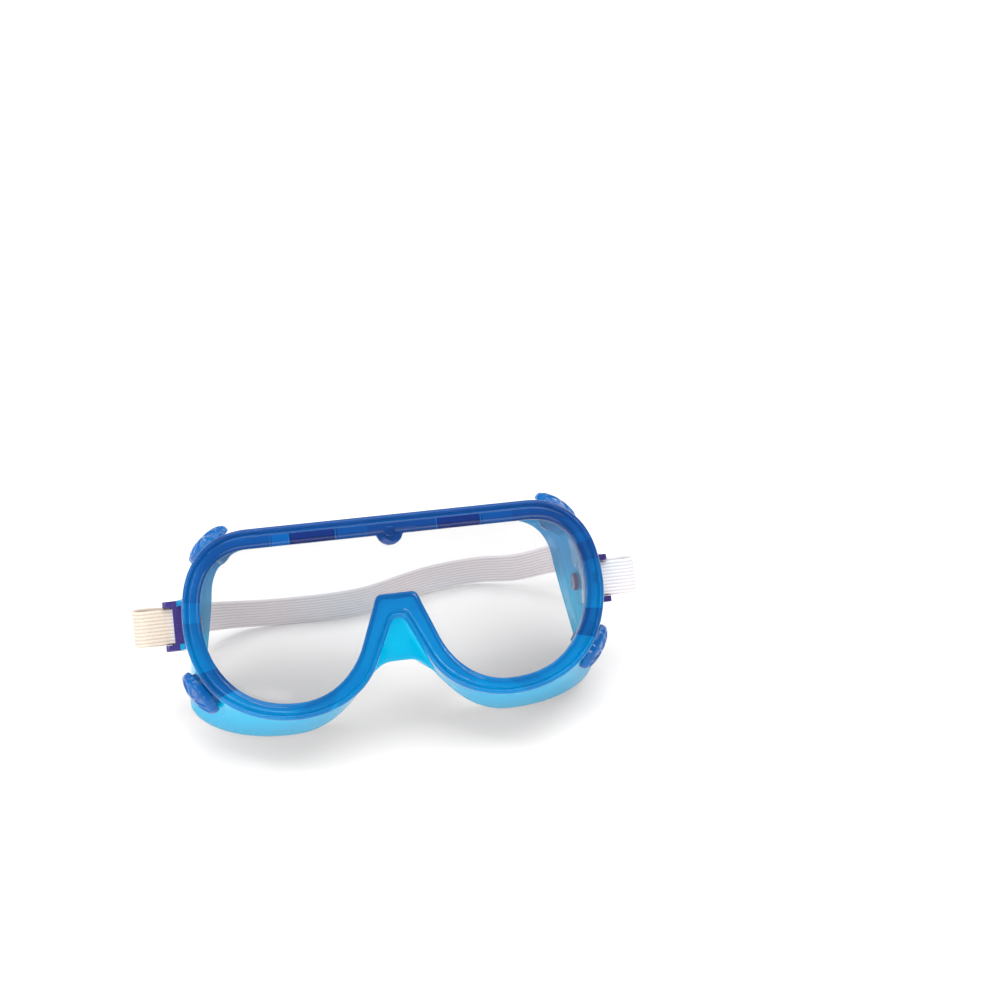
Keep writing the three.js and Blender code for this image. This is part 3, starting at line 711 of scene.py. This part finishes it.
def strap_clip(name):
    """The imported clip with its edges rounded."""
    bm = bmesh.new()
    bm.from_mesh(frame["nodes"][name].data)
    bmesh.ops.remove_doubles(bm, verts=bm.verts, dist=0.02 * MM)
    bmesh.ops.dissolve_limit(bm, angle_limit=math.radians(2), verts=bm.verts, edges=bm.edges)
    sharp = [e for e in bm.edges if e.calc_face_angle(0) > math.radians(40)]
    bmesh.ops.bevel(
        bm, geom=sharp, offset=CLIP_ROUND * MM, offset_type="OFFSET", segments=3, profile=0.5,
        affect="EDGES", clamp_overlap=True, material=-1)
    return finished(name + "_moulding", bm, Matrix())


# Route of the strap's middle past a clip, as out, back and up in the clip's own frame, and behind
# the goggles as [x, depth behind the strap bars, height above the floor].
NEAR_CLIP = [
    (STRAP_SPLIT + FIT_GAP, -STRAP_MID, 0),
    (STRAP_SPLIT + 2.2, -STRAP_MID + 0.2, 0),
    (STRAP_SPLIT + 5.2, 0.8, 0.3),
    (STRAP_SPLIT + 6, 4.6, 1.1),
    (STRAP_SPLIT + 4, 8.6, 1.8),
    (STRAP_SPLIT - 1, 12, 1.8),
]
LYING = STRAP_WIDTH / 2 + FIT_GAP
TEMPLE_X = HALF - TEMPLE_INSET
BEHIND = [
    (TEMPLE_X + 8, 31, LYING + 15),
    (TEMPLE_X + 1, 41, LYING + 9),
    (TEMPLE_X - 15, 46, LYING + 3),
    (TEMPLE_X - 30, 50.5, LYING + 0.5),
    (TEMPLE_X - 52, 48.2, LYING),
    (TEMPLE_X - 77, 39.6, LYING),
    (52 - TEMPLE_X, 38, LYING),
    (27 - TEMPLE_X, 38.2, LYING),
    (12 - TEMPLE_X, 36, LYING + 2.5),
    (-TEMPLE_X - 1, 29, LYING + 8),
    (-TEMPLE_X - 8, 21, LYING + 13),
]


def catmull_rom(points, spacing):
    """A smooth line through points, with steps about spacing long and no loops at its corners."""
    padded = [points[0] * 2 - points[1], *points, points[-1] * 2 - points[-2]]
    line = []
    for a, b, c, d in zip(padded, padded[1:], padded[2:], padded[3:]):
        knots = [0.0]
        for p, q in ((a, b), (b, c), (c, d)):
            knots.append(knots[-1] + max((q - p).length, 1e-9) ** 0.5)
        steps = max(2, round((c - b).length / spacing))
        for k in range(steps):
            t = knots[1] + (knots[2] - knots[1]) * k / steps
            line.append(blended(a, b, c, d, knots, t))
    line.append(points[-1])
    return line


def blended(a, b, c, d, knots, t):
    """The point at t on the curve between b and c."""
    def mix(p, q, low, high):
        return p.lerp(q, (t - low) / (high - low))

    k0, k1, k2, k3 = knots
    ab, bc, cd = mix(a, b, k0, k1), mix(b, c, k1, k2), mix(c, d, k2, k3)
    return mix(mix(ab, bc, k0, k2), mix(bc, cd, k1, k3), k1, k2)


def strap_end(side):
    """From the tail, half way round the strap bar, to where the free length begins."""
    place = STANCE @ clip_place(side)
    route = [(STRAP_TAIL, STRAP_MID + 0.4), (STRAP_TAIL / 2, STRAP_MID + 0.2)]
    for k in range(BAR_TURNS + 1):
        angle = math.pi / 2 + math.pi * k / BAR_TURNS
        route.append((math.cos(angle) * STRAP_MID, math.sin(angle) * STRAP_MID))
    route.append((STRAP_SPLIT / 2, -STRAP_MID))
    route.append((STRAP_SPLIT, -STRAP_MID))
    return [place @ Vector((x, y, 0)) for x, y in route]


def strap_route():
    """The strap's middle, from the tail at one clip to the tail at the other."""
    bars = joint("headband_swing")["pos_m"]
    near = {s: [STANCE @ clip_place(s) @ Vector((x, y, s * z)) for x, y, z in NEAR_CLIP]
            for s in (1, -1)}
    behind = [Vector((x * MM, bars[1] + y * MM, z * MM)) for x, y, z in BEHIND]
    free = catmull_rom([*near[1], *behind, *reversed(near[-1])], FREE_STEP * MM)
    first = catmull_rom(strap_end(1), STRAP_STEP * MM)
    last = catmull_rom(list(reversed(strap_end(-1))), STRAP_STEP * MM)
    return first[:-1] + free + last[1:]


def headband():
    """One length of ribbed elastic, from tail to tail, round both strap bars."""
    route = strap_route()
    travelled = [0.0]
    for p, q in zip(route, route[1:]):
        travelled.append(travelled[-1] + (q - p).length)
    total = travelled[-1]
    columns = STEPS_PER_RIB * STRAP_RIBS            # across one face of the strap

    def width_way(i, ahead):
        from_end = min(travelled[i], total - travelled[i]) / total
        lean = LEAN * (1 - smoothstep((from_end - UPRIGHT_SHARE) / LEAN_SHARE))
        way = Vector((0, math.sin(lean), math.cos(lean)))
        return (way - ahead * way.dot(ahead)).normalized()

    def section(row, column):
        ahead = (route[min(row + 1, len(route) - 1)] - route[max(row - 1, 0)]).normalized()
        across = width_way(row, ahead)
        through = ahead.cross(across)
        column %= 2 * columns
        share = column / columns if column <= columns else 2 - column / columns
        face = 1 if column <= columns else -1
        edge = 1 if 0 < share < 1 else 0
        rib = 0.5 - 0.5 * math.cos(share * STRAP_RIBS * math.tau)
        thick = STRAP_THICKNESS / 2 * (RIB_VALLEY + (1 - RIB_VALLEY) * rib) * edge
        side = (share - 0.5) * STRAP_WIDTH
        return route[row] + (across * side + through * face * thick) * MM

    bm = bmesh.new()
    wrapped_grid(
        bm, 2 * columns, len(route) - 1, section,
        lambda row, column: (travelled[row], column / columns * STRAP_WIDTH * MM))
    open_edges = [e for e in bm.edges if e.is_boundary]
    bmesh.ops.holes_fill(bm, edges=open_edges, sides=0)
    bmesh.ops.recalc_face_normals(bm, faces=bm.faces)
    strap = finished("headband_elastic", bm, Matrix(), crease=math.radians(70))
    return strap, total


# ---- materials ------------------------------------------------------------------------------

def grey(tone):
    return (tone, tone, tone, 1)


WHITE = grey(1)


class Finish:
    """A node material with a Principled shader and a few ready-made patterns."""

    def __init__(self, name, **sockets):
        self.material = bpy.data.materials.new(name)
        self.material.use_nodes = True
        self.tree = self.material.node_tree
        self.shader = self.tree.nodes["Principled BSDF"]
        self.output = self.tree.nodes["Material Output"]
        for key, value in sockets.items():
            self.shader.inputs[key.replace("_", " ")].default_value = value

    def node(self, kind, **sockets):
        made = self.tree.nodes.new(kind)
        for key, value in sockets.items():
            made.inputs[key.replace("_", " ")].default_value = value
        return made

    def link(self, source, target):
        self.tree.links.new(source, target)

    def feed(self, socket, value):
        """Gives a socket its value: a number, a colour or another node's socket."""
        if isinstance(value, (int, float, tuple)):
            socket.default_value = value
        else:
            self.link(value, socket)

    def noise(self, scale, detail=3.0):
        place = self.node("ShaderNodeTexCoord")
        pattern = self.node("ShaderNodeTexNoise", Scale=scale, Detail=detail)
        self.link(place.outputs["Object"], pattern.inputs["Vector"])
        return pattern.outputs["Fac"]

    def ranged(self, value, low, high):
        """From low to high as the value goes from 0 to 1."""
        ramp = self.node("ShaderNodeMapRange")
        ramp.inputs["To Min"].default_value = low
        ramp.inputs["To Max"].default_value = high
        self.link(value, ramp.inputs["Value"])
        return ramp.outputs["Result"]

    def bump(self, height, strength, distance, under=None):
        node = self.node("ShaderNodeBump", Strength=strength, Distance=distance)
        self.link(height, node.inputs["Height"])
        if under:
            self.link(under, node.inputs["Normal"])
        return node.outputs["Normal"]

    def upright(self):
        """Place in the upright drawing, in millimetres, as its x, y and z."""
        place = self.node("ShaderNodeTexCoord")
        turned = self.node("ShaderNodeMapping", Location=STANCE.translation,
                           Rotation=LEANING.to_euler(), Scale=(MM, MM, MM))
        turned.vector_type = "TEXTURE"
        self.link(place.outputs["Object"], turned.inputs["Vector"])
        split = self.node("ShaderNodeSeparateXYZ")
        self.link(turned.outputs["Vector"], split.inputs["Vector"])
        return split.outputs

    def between(self, value, start, end, kind="SMOOTHSTEP"):
        """A rise from 0 at start to 1 at end."""
        ramp = self.node("ShaderNodeMapRange")
        ramp.interpolation_type = kind
        ramp.inputs["From Min"].default_value = start
        ramp.inputs["From Max"].default_value = end
        self.link(value, ramp.inputs["Value"])
        return ramp.outputs["Result"]

    def calc(self, operation, *values):
        """A math node's result, from numbers and sockets."""
        node = self.node("ShaderNodeMath")
        node.operation = operation
        for socket, value in zip(node.inputs, values):
            self.feed(socket, value)
        return node.outputs["Value"]

    def mixed(self, share, first, second, blend="MIX"):
        """A colour between two others, each a colour or a socket."""
        node = self.node("ShaderNodeMix")
        node.data_type = "RGBA"
        node.blend_type = blend
        for key, value in (("Factor", share), ("A", first), ("B", second)):
            self.feed(next(i for i in node.inputs if i.name == key and i.enabled), value)
        return next(o for o in node.outputs if o.enabled)

    def segments(self, value, stops):
        """Even tones with clean ends, from (start, tone) pairs."""
        ramp = self.node("ShaderNodeValToRGB")
        ramp.color_ramp.interpolation = "CONSTANT"
        points = ramp.color_ramp.elements
        while len(points) < len(stops):
            points.new(0.5)
        for k, (start, tone) in enumerate(stops):
            points[k].position = start
            points[k].color = grey(tone)
        self.link(value, ramp.inputs["Fac"])
        return ramp.outputs["Color"]

    def lines(self, value, places, half_width):
        """One at each of several places along a value, and zero between them."""
        total = None
        for place in places:
            near = self.calc("COMPARE", value, place, half_width)
            total = near if total is None else self.calc("MAXIMUM", total, near)
        return total

    def soft_shadow(self, tone):
        """Lets shadow rays through in a neutral grey, as thin tinted plastic does in soft light."""
        rays = self.node("ShaderNodeLightPath")
        clear = self.node("ShaderNodeBsdfTransparent", Color=grey(tone))
        mix = self.node("ShaderNodeMixShader")
        self.link(rays.outputs["Is Shadow Ray"], mix.inputs[0])
        self.link(self.shader.outputs[0], mix.inputs[1])
        self.link(clear.outputs[0], mix.inputs[2])
        self.link(mix.outputs[0], self.output.inputs["Surface"])


# Where each moulded pocket in the rim begins and its tone, from 0, indigo, to 1, azure: along the
# top by x, in millimetres, and elsewhere by degrees round POCKET_CENTRE, a height on the middle line.
TOP_POCKETS = [
    (-75, 0.5), (-42, 0.85), (-35.5, 0.05), (-19, 0.45), (-8, 0.3), (8, 0.3), (17, 0.05), (33, 0.5),
    (44, 0.35),
]
SIDE_POCKETS = [
    (-180, 0.45), (-170, 0.12), (-161.5, 0.6), (-141, 0.42), (-132, 0.7), (-39, 0.5), (-32, 0.65),
    (-15, 0.12), (-6, 0.5), (8, 0.25), (13, 0.5), (167, 0.45), (171, 0.75), (177, 0.45),
]
POCKET_CENTRE = -18
TOP_FROM, TOP_FULL = 2, 3               # heights between which the side pockets give way to the top's
BEAD_WIDTH = 3.1
BEAD_TONE = 0.33
NOSE_CLEAR = 24                         # no pockets nearer the middle than this, below the top
NOSE_TONE = 0.55
DIVIDERS = [-42, -35.5, -19, 17, 33]    # walls between pockets, each painted as a lit line with a shaded line beside it
DIVIDER_HALF = 0.18
SHADOW_TONE = 0.1

# Colours of the frame, each painted lighter low on the goggles, where the white floor's light shines through, and
# darker high on them.
AZURE = (0.0, 0.33, 0.76, 1), (0.001, 0.16, 0.52, 1)
INDIGO = (0.002, 0.07, 0.30, 1), (0.010, 0.022, 0.16, 1)
CYAN = (0.0, 0.60, 0.92, 1), (0.0, 0.34, 0.75, 1)
# Painted shade and painted highlight of the walls between the rim's pockets.
WALL_PAINTED_SHADE, WALL_PAINTED_HIGHLIGHT = (0.008, 0.015, 0.12, 1), (0.005, 0.25, 0.65, 1)
CYAN_CLOUD = (0.0, 0.42, 0.82, 1)
RIM_LIGHT_FALLOFF = -40, 12                      # heights over which the painted light turns each colour from its low to its high
SKIRT_LIGHT_FALLOFF = -30, 5


def vinyl_finish(look, roughness):
    """The faint ripple and gloss of a soft moulding."""
    ripple, grain = look.noise(90), look.noise(1400)
    look.link(look.ranged(grain, roughness * 0.6, roughness * 1.6), look.shader.inputs["Roughness"])
    normal = look.bump(ripple, strength=0.25, distance=0.0006)
    normal = look.bump(grain, strength=0.08, distance=0.00005, under=normal)
    look.link(normal, look.shader.inputs["Normal"])
    look.soft_shadow(SHADOW_TONE)


def side_pockets(look, across, high):
    """The tone of the rim beside and below the lenses."""
    flat = look.node("ShaderNodeCombineXYZ")
    look.link(across, flat.inputs["X"])
    look.link(look.calc("SUBTRACT", high, POCKET_CENTRE), flat.inputs["Y"])
    turn = look.node("ShaderNodeTexGradient")
    turn.gradient_type = "RADIAL"
    look.link(flat.outputs["Vector"], turn.inputs["Vector"])
    stops = [((angle + 180) / 360, tone) for angle, tone in SIDE_POCKETS]
    tone = look.segments(turn.outputs["Fac"], stops)
    off_middle = look.calc("ABSOLUTE", across)
    beside_nose = look.between(off_middle, NOSE_CLEAR, NOSE_CLEAR + 1)
    return look.mixed(beside_nose, grey(NOSE_TONE), tone)


def top_pockets(look, across, below_bead):
    """The tone of the rim above the lenses, even along its bead."""
    along = look.between(across, -HALF, HALF, "LINEAR")
    tone = look.segments(along, [((x + HALF) / RIM_WIDTH, tone) for x, tone in TOP_POCKETS])
    return look.mixed(below_bead, grey(BEAD_TONE), tone)


def painted_wall_lines(look, colour, across, places, where, faintest, strongest, line_colour):
    """A colour with painted lines at these places across it, uneven in strength, each call giving either the lit
    line or the shaded line of the pocket walls.
    """
    lines = look.calc("MULTIPLY", look.lines(across, places, DIVIDER_HALF), where)
    strength = look.ranged(look.noise(60), faintest, strongest)
    return look.mixed(look.calc("MULTIPLY", lines, strength), colour, line_colour)


def rim_colour(look, across, high):
    """Deep blue, painted lighter low on the goggles and darker high up, with moulded pockets and a painted lit
    line and shaded line at each wall between them.
    """
    on_top = look.between(high, TOP_FROM, TOP_FULL)
    below_bead = look.between(high, RIM_TOP - BEAD_WIDTH, RIM_TOP - BEAD_WIDTH - 0.3)
    tone = look.mixed(
        on_top, side_pockets(look, across, high), top_pockets(look, across, below_bead))
    # Painted light: each colour is lighter low on the goggles, where the white floor shines through, and darker
    # high up.
    painted_light_fall = look.between(high, *RIM_LIGHT_FALLOFF)
    colour = look.mixed(tone, look.mixed(painted_light_fall, *INDIGO), look.mixed(painted_light_fall, *AZURE))
    where = look.calc("MULTIPLY", on_top, below_bead)
    # Painted light and shade on the walls between pockets, which aren't modelled: a lit line on each wall and a
    # shaded line just beside it.
    shaded_line_places = [x + 2 * DIVIDER_HALF for x in DIVIDERS]
    colour = painted_wall_lines(look, colour, across, shaded_line_places, where, 0.5, 1.0, WALL_PAINTED_SHADE)
    return painted_wall_lines(look, colour, across, DIVIDERS, where, 0.3, 0.9, WALL_PAINTED_HIGHLIGHT)


def frame_vinyl():
    """Clear tinted vinyl: a deep blue rim with moulded pockets, and a cyan skirt behind it, both painted lighter
    low down, where the white floor's light shines through, and darker high up.
    """
    look = Finish("blue_soft_vinyl", Transmission_Weight=0.5, IOR=1.33, Specular_IOR_Level=0.5)
    across, deep, high = look.upright()
    # Painted light: the skirt is lighter low down, where the white floor shines through, and darker high up.
    skirt = look.mixed(look.between(high, *SKIRT_LIGHT_FALLOFF), *CYAN)
    skirt = look.mixed(look.ranged(look.noise(45), 0.0, 0.35), skirt, CYAN_CLOUD)
    behind_rim = look.between(deep, RIM_DEPTH - 3, RIM_DEPTH + 1.5)
    body = look.mixed(behind_rim, rim_colour(look, across, high), skirt)
    look.link(body, look.shader.inputs["Base Color"])
    vinyl_finish(look, roughness=0.07)
    return look.material


def vent_plastic(name, light, dark):
    """Tinted vent plastic, a little cloudy."""
    look = Finish(name, Transmission_Weight=0.35, IOR=1.36, Specular_IOR_Level=0.5)
    look.link(look.mixed(look.noise(140), dark, light), look.shader.inputs["Base Color"])
    vinyl_finish(look, roughness=0.12)
    return look.material


def clear_sheet():
    """Clear stiff sheet, nearly invisible, with faint scuffs in its gloss, and a grey veil that is partly the
    lens's own dimming and partly painted shade on the floor seen through it.
    """
    # The grey base colour, through the alpha, is partly painted shade of the floor beneath the goggles.
    look = Finish("clear_lens", Base_Color=(0.22, 0.225, 0.235, 1), Alpha=0.2, IOR=1.5)
    scuffs = look.noise(700, detail=6)
    look.link(look.ranged(scuffs, 0.03, 0.16), look.shader.inputs["Roughness"])
    normal = look.bump(look.noise(60), strength=0.1, distance=0.0003)
    look.link(normal, look.shader.inputs["Normal"])
    return look.material


def clip_plastic():
    """Hard indigo plastic with a fine moulded grain."""
    look = Finish("indigo_clip_plastic", Transmission_Weight=0.25, IOR=1.5)
    cloud, grain = look.noise(160), look.noise(2600)
    tone = look.mixed(cloud, (0.035, 0.022, 0.16, 1), (0.06, 0.04, 0.27, 1))
    look.link(tone, look.shader.inputs["Base Color"])
    look.link(look.ranged(grain, 0.16, 0.34), look.shader.inputs["Roughness"])
    normal = look.bump(grain, strength=0.12, distance=0.00006)
    look.link(normal, look.shader.inputs["Normal"])
    return look.material


BLUE_CAST, PINK_CAST = (0.84, 0.90, 0.98, 1), (0.97, 0.89, 0.92, 1)
WARM_LIGHT_TINT = (0.66, 0.55, 0.43, 1)
WARM_LIGHT_FROM, WARM_LIGHT_FULL = -77, -82       # painted warm light on the left end of the strap
PALE_YARN = (0.95, 0.94, 0.94, 1)
# Painted shade for the valleys between the strap's ribs.
PAINTED_RIB_SHADE = (0.76, 0.74, 0.77, 1)
ROW_SHADE = (0.93, 0.93, 0.94, 1)
WAVE_TURNS = math.tau / 20              # the scale at which a wave texture repeats once a metre
KNIT_ROWS = 420.0                       # the rows' scale, for one about every 0.75 millimetres


def ribbed_elastic():
    """White knitted elastic: painted shade in the valleys between its ribs, fine rows across them,
    uneven yarn, faint casts of pink and blue, and a painted warm light on its left end."""
    look = Finish("ribbed_white_elastic", Sheen_Weight=0.3, Sheen_Roughness=0.5, IOR=1.4)
    place = look.node("ShaderNodeTexCoord")
    ribs_per_metre = STRAP_RIBS / (STRAP_WIDTH * MM)
    ribs = look.node("ShaderNodeTexWave", Scale=WAVE_TURNS * ribs_per_metre)
    rows = look.node("ShaderNodeTexWave", Scale=KNIT_ROWS, Distortion=1.2, Detail=2.0)
    for wave, way in ((ribs, "Y"), (rows, "X")):
        wave.bands_direction = way
        look.link(place.outputs["UV"], wave.inputs["Vector"])
    yarn = look.noise(900, detail=4)
    across = look.upright()[0]
    tint_and_warm_light = look.mixed(look.between(look.noise(16, detail=1), 0.4, 0.6), BLUE_CAST, PINK_CAST)
    # Painted warm light: the left end of the strap turns a darker cream.
    tint_and_warm_light = look.mixed(look.between(across, WARM_LIGHT_FROM, WARM_LIGHT_FULL), tint_and_warm_light, WARM_LIGHT_TINT)
    pale = look.mixed(look.ranged(yarn, 0.0, 0.3), tint_and_warm_light, PALE_YARN)
    # Painted shade: darker in the valleys between the modelled ribs.
    valley_shade = look.mixed(look.between(ribs.outputs["Fac"], 0.0, 0.55), PAINTED_RIB_SHADE, WHITE)
    rung = look.mixed(look.ranged(rows.outputs["Fac"], 0.0, 1.0), ROW_SHADE, WHITE)
    tone = look.mixed(1.0, look.mixed(1.0, pale, valley_shade, "MULTIPLY"), rung, "MULTIPLY")
    look.link(tone, look.shader.inputs["Base Color"])
    look.link(look.ranged(yarn, 0.72, 0.92), look.shader.inputs["Roughness"])
    normal = look.bump(rows.outputs["Fac"], strength=0.35, distance=0.00012)
    normal = look.bump(yarn, strength=0.3, distance=0.00012, under=normal)
    look.link(normal, look.shader.inputs["Normal"])
    return look.material


def painted(obj, material):
    """Gives a piece its one material."""
    obj.data.materials.clear()
    obj.data.materials.append(material)
    return obj


# ---- camera, light and floor ----------------------------------------------------------------

CAMERA_AZIMUTH = math.radians(-10.552)
CAMERA_HEIGHT = math.radians(33.81)
CAMERA_LENS = 57                        # millimetres, as the sensor's width
SENSOR_WIDTH = 36
CAMERA_AWAY = 0.5865
CAMERA_AIM = Vector((0, 0.012217, -0.029035))   # from the drawing's zero, before the shifts below
AIM_RIGHT, AIM_UP = 0.04026, 0.0386
WORLD_LIGHT = 0.38
SOFTBOXES = [                           # name, place, aim, size, power
    ("overhead", (0.1, 0.15, 1.3), (0, 0, 0), (1.6, 1.2), 18.5),
    ("left_side", (-1.0, -0.5, 0.75), (0, 0, 0.03), (0.5, 0.9), 5),
    ("right_back", (0.9, 0.7, 0.8), (0, 0, 0.03), (0.4, 0.9), 4),
    ("front", (-0.5, -1.5, 0.45), (0, 0, 0.03), (0.9, 0.4), 10),
    ("left_strip", (-0.75, 0.25, 0.6), (0, 0, 0.03), (0.06, 0.9), 2.4),
]
FLOOR_COLOUR = grey(0.9)
FLOOR_HALF = 4


def no_cast(obj):
    """Keeps a tinted piece's colour off the floor, whose shadow stays a neutral grey."""
    obj.visible_diffuse = False


def camera():
    """A view from the goggles' right front and above, with room beside and below them."""
    sine, cosine = math.sin(CAMERA_AZIMUTH), math.cos(CAMERA_AZIMUTH)
    level = math.cos(CAMERA_HEIGHT)
    back = Vector((sine * level, -cosine * level, math.sin(CAMERA_HEIGHT)))
    right = Vector((cosine, sine, 0))
    aim = STANCE.translation + CAMERA_AIM + right * AIM_RIGHT + back.cross(right) * AIM_UP
    lens = bpy.data.cameras.new("camera")
    lens.lens = CAMERA_LENS
    lens.sensor_width = SENSOR_WIDTH
    lens.clip_start, lens.clip_end = 0.01, 20
    eye = bpy.data.objects.new("camera", lens)
    eye.location = aim + back * CAMERA_AWAY
    eye.rotation_mode = "QUATERNION"
    eye.rotation_quaternion = back.to_track_quat("Z", "Y")
    bpy.context.scene.collection.objects.link(eye)
    bpy.context.scene.camera = eye


def softbox(name, place, aim, size, power):
    """A rectangular light that faces aim."""
    light = bpy.data.lights.new(name, "AREA")
    light.shape = "RECTANGLE"
    light.size, light.size_y = size
    light.energy = power
    obj = bpy.data.objects.new(name, light)
    obj.location = place
    obj.rotation_mode = "QUATERNION"
    obj.rotation_quaternion = (Vector(place) - Vector(aim)).to_track_quat("Z", "Y")
    bpy.context.scene.collection.objects.link(obj)


def studio():
    """Even white light, soft boxes and a pale floor."""
    world = bpy.data.worlds.new("studio")
    bpy.context.scene.world = world
    world.use_nodes = True
    background = world.node_tree.nodes["Background"]
    background.inputs["Color"].default_value = WHITE
    background.inputs["Strength"].default_value = WORLD_LIGHT
    for lamp in SOFTBOXES:
        softbox(*lamp)
    bpy.context.scene.view_settings.view_transform = "Standard"
    bpy.context.scene.cycles.caustics_refractive = False
    bpy.context.scene.cycles.caustics_reflective = False
    bm = bmesh.new()
    bmesh.ops.create_grid(bm, x_segments=1, y_segments=1, size=FLOOR_HALF)
    floor = finished("floor", bm, Matrix())
    painted(floor, Finish("pale_floor", Base_Color=FLOOR_COLOUR, Roughness=0.9).material)


# ---- the scene ------------------------------------------------------------------------------

camera()

elastic, strap_length = headband()
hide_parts("strap_end_right", "headband", "strap_end_left")
painted(elastic, ribbed_elastic())
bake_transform(elastic)

vinyl = frame_vinyl()
body = frame_moulding()
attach(body, "root")
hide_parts("frame_body")
no_cast(painted(body, vinyl))

lens = lens_sheet()
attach(lens, "root")
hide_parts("lens")
painted(lens, clear_sheet())

cap_plastic = vent_plastic(
    "blue_vent_plastic", light=(0.0, 0.22, 0.62, 1), dark=(0.002, 0.08, 0.36, 1))
for cap_name, cap_place in VENTS.items():
    cap = vent_cap(cap_name + "_petals", cap_place)
    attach(cap, cap_name)
    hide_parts(cap_name)
    no_cast(painted(cap, cap_plastic))

seat_plastic = vent_plastic(
    "blue_seat_plastic", light=(0.003, 0.14, 0.5, 1), dark=(0.005, 0.07, 0.33, 1))
for cap_name in VENTS:
    seat = frame["nodes"][cap_name.replace("cap", "seat")]
    painted(seat, seat_plastic)

indigo = clip_plastic()
for side_name in ("right", "left"):
    clip = strap_clip("strap_clip_" + side_name)
    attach(clip, "root")
    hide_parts("strap_clip_" + side_name)
    painted(clip, indigo)

studio()
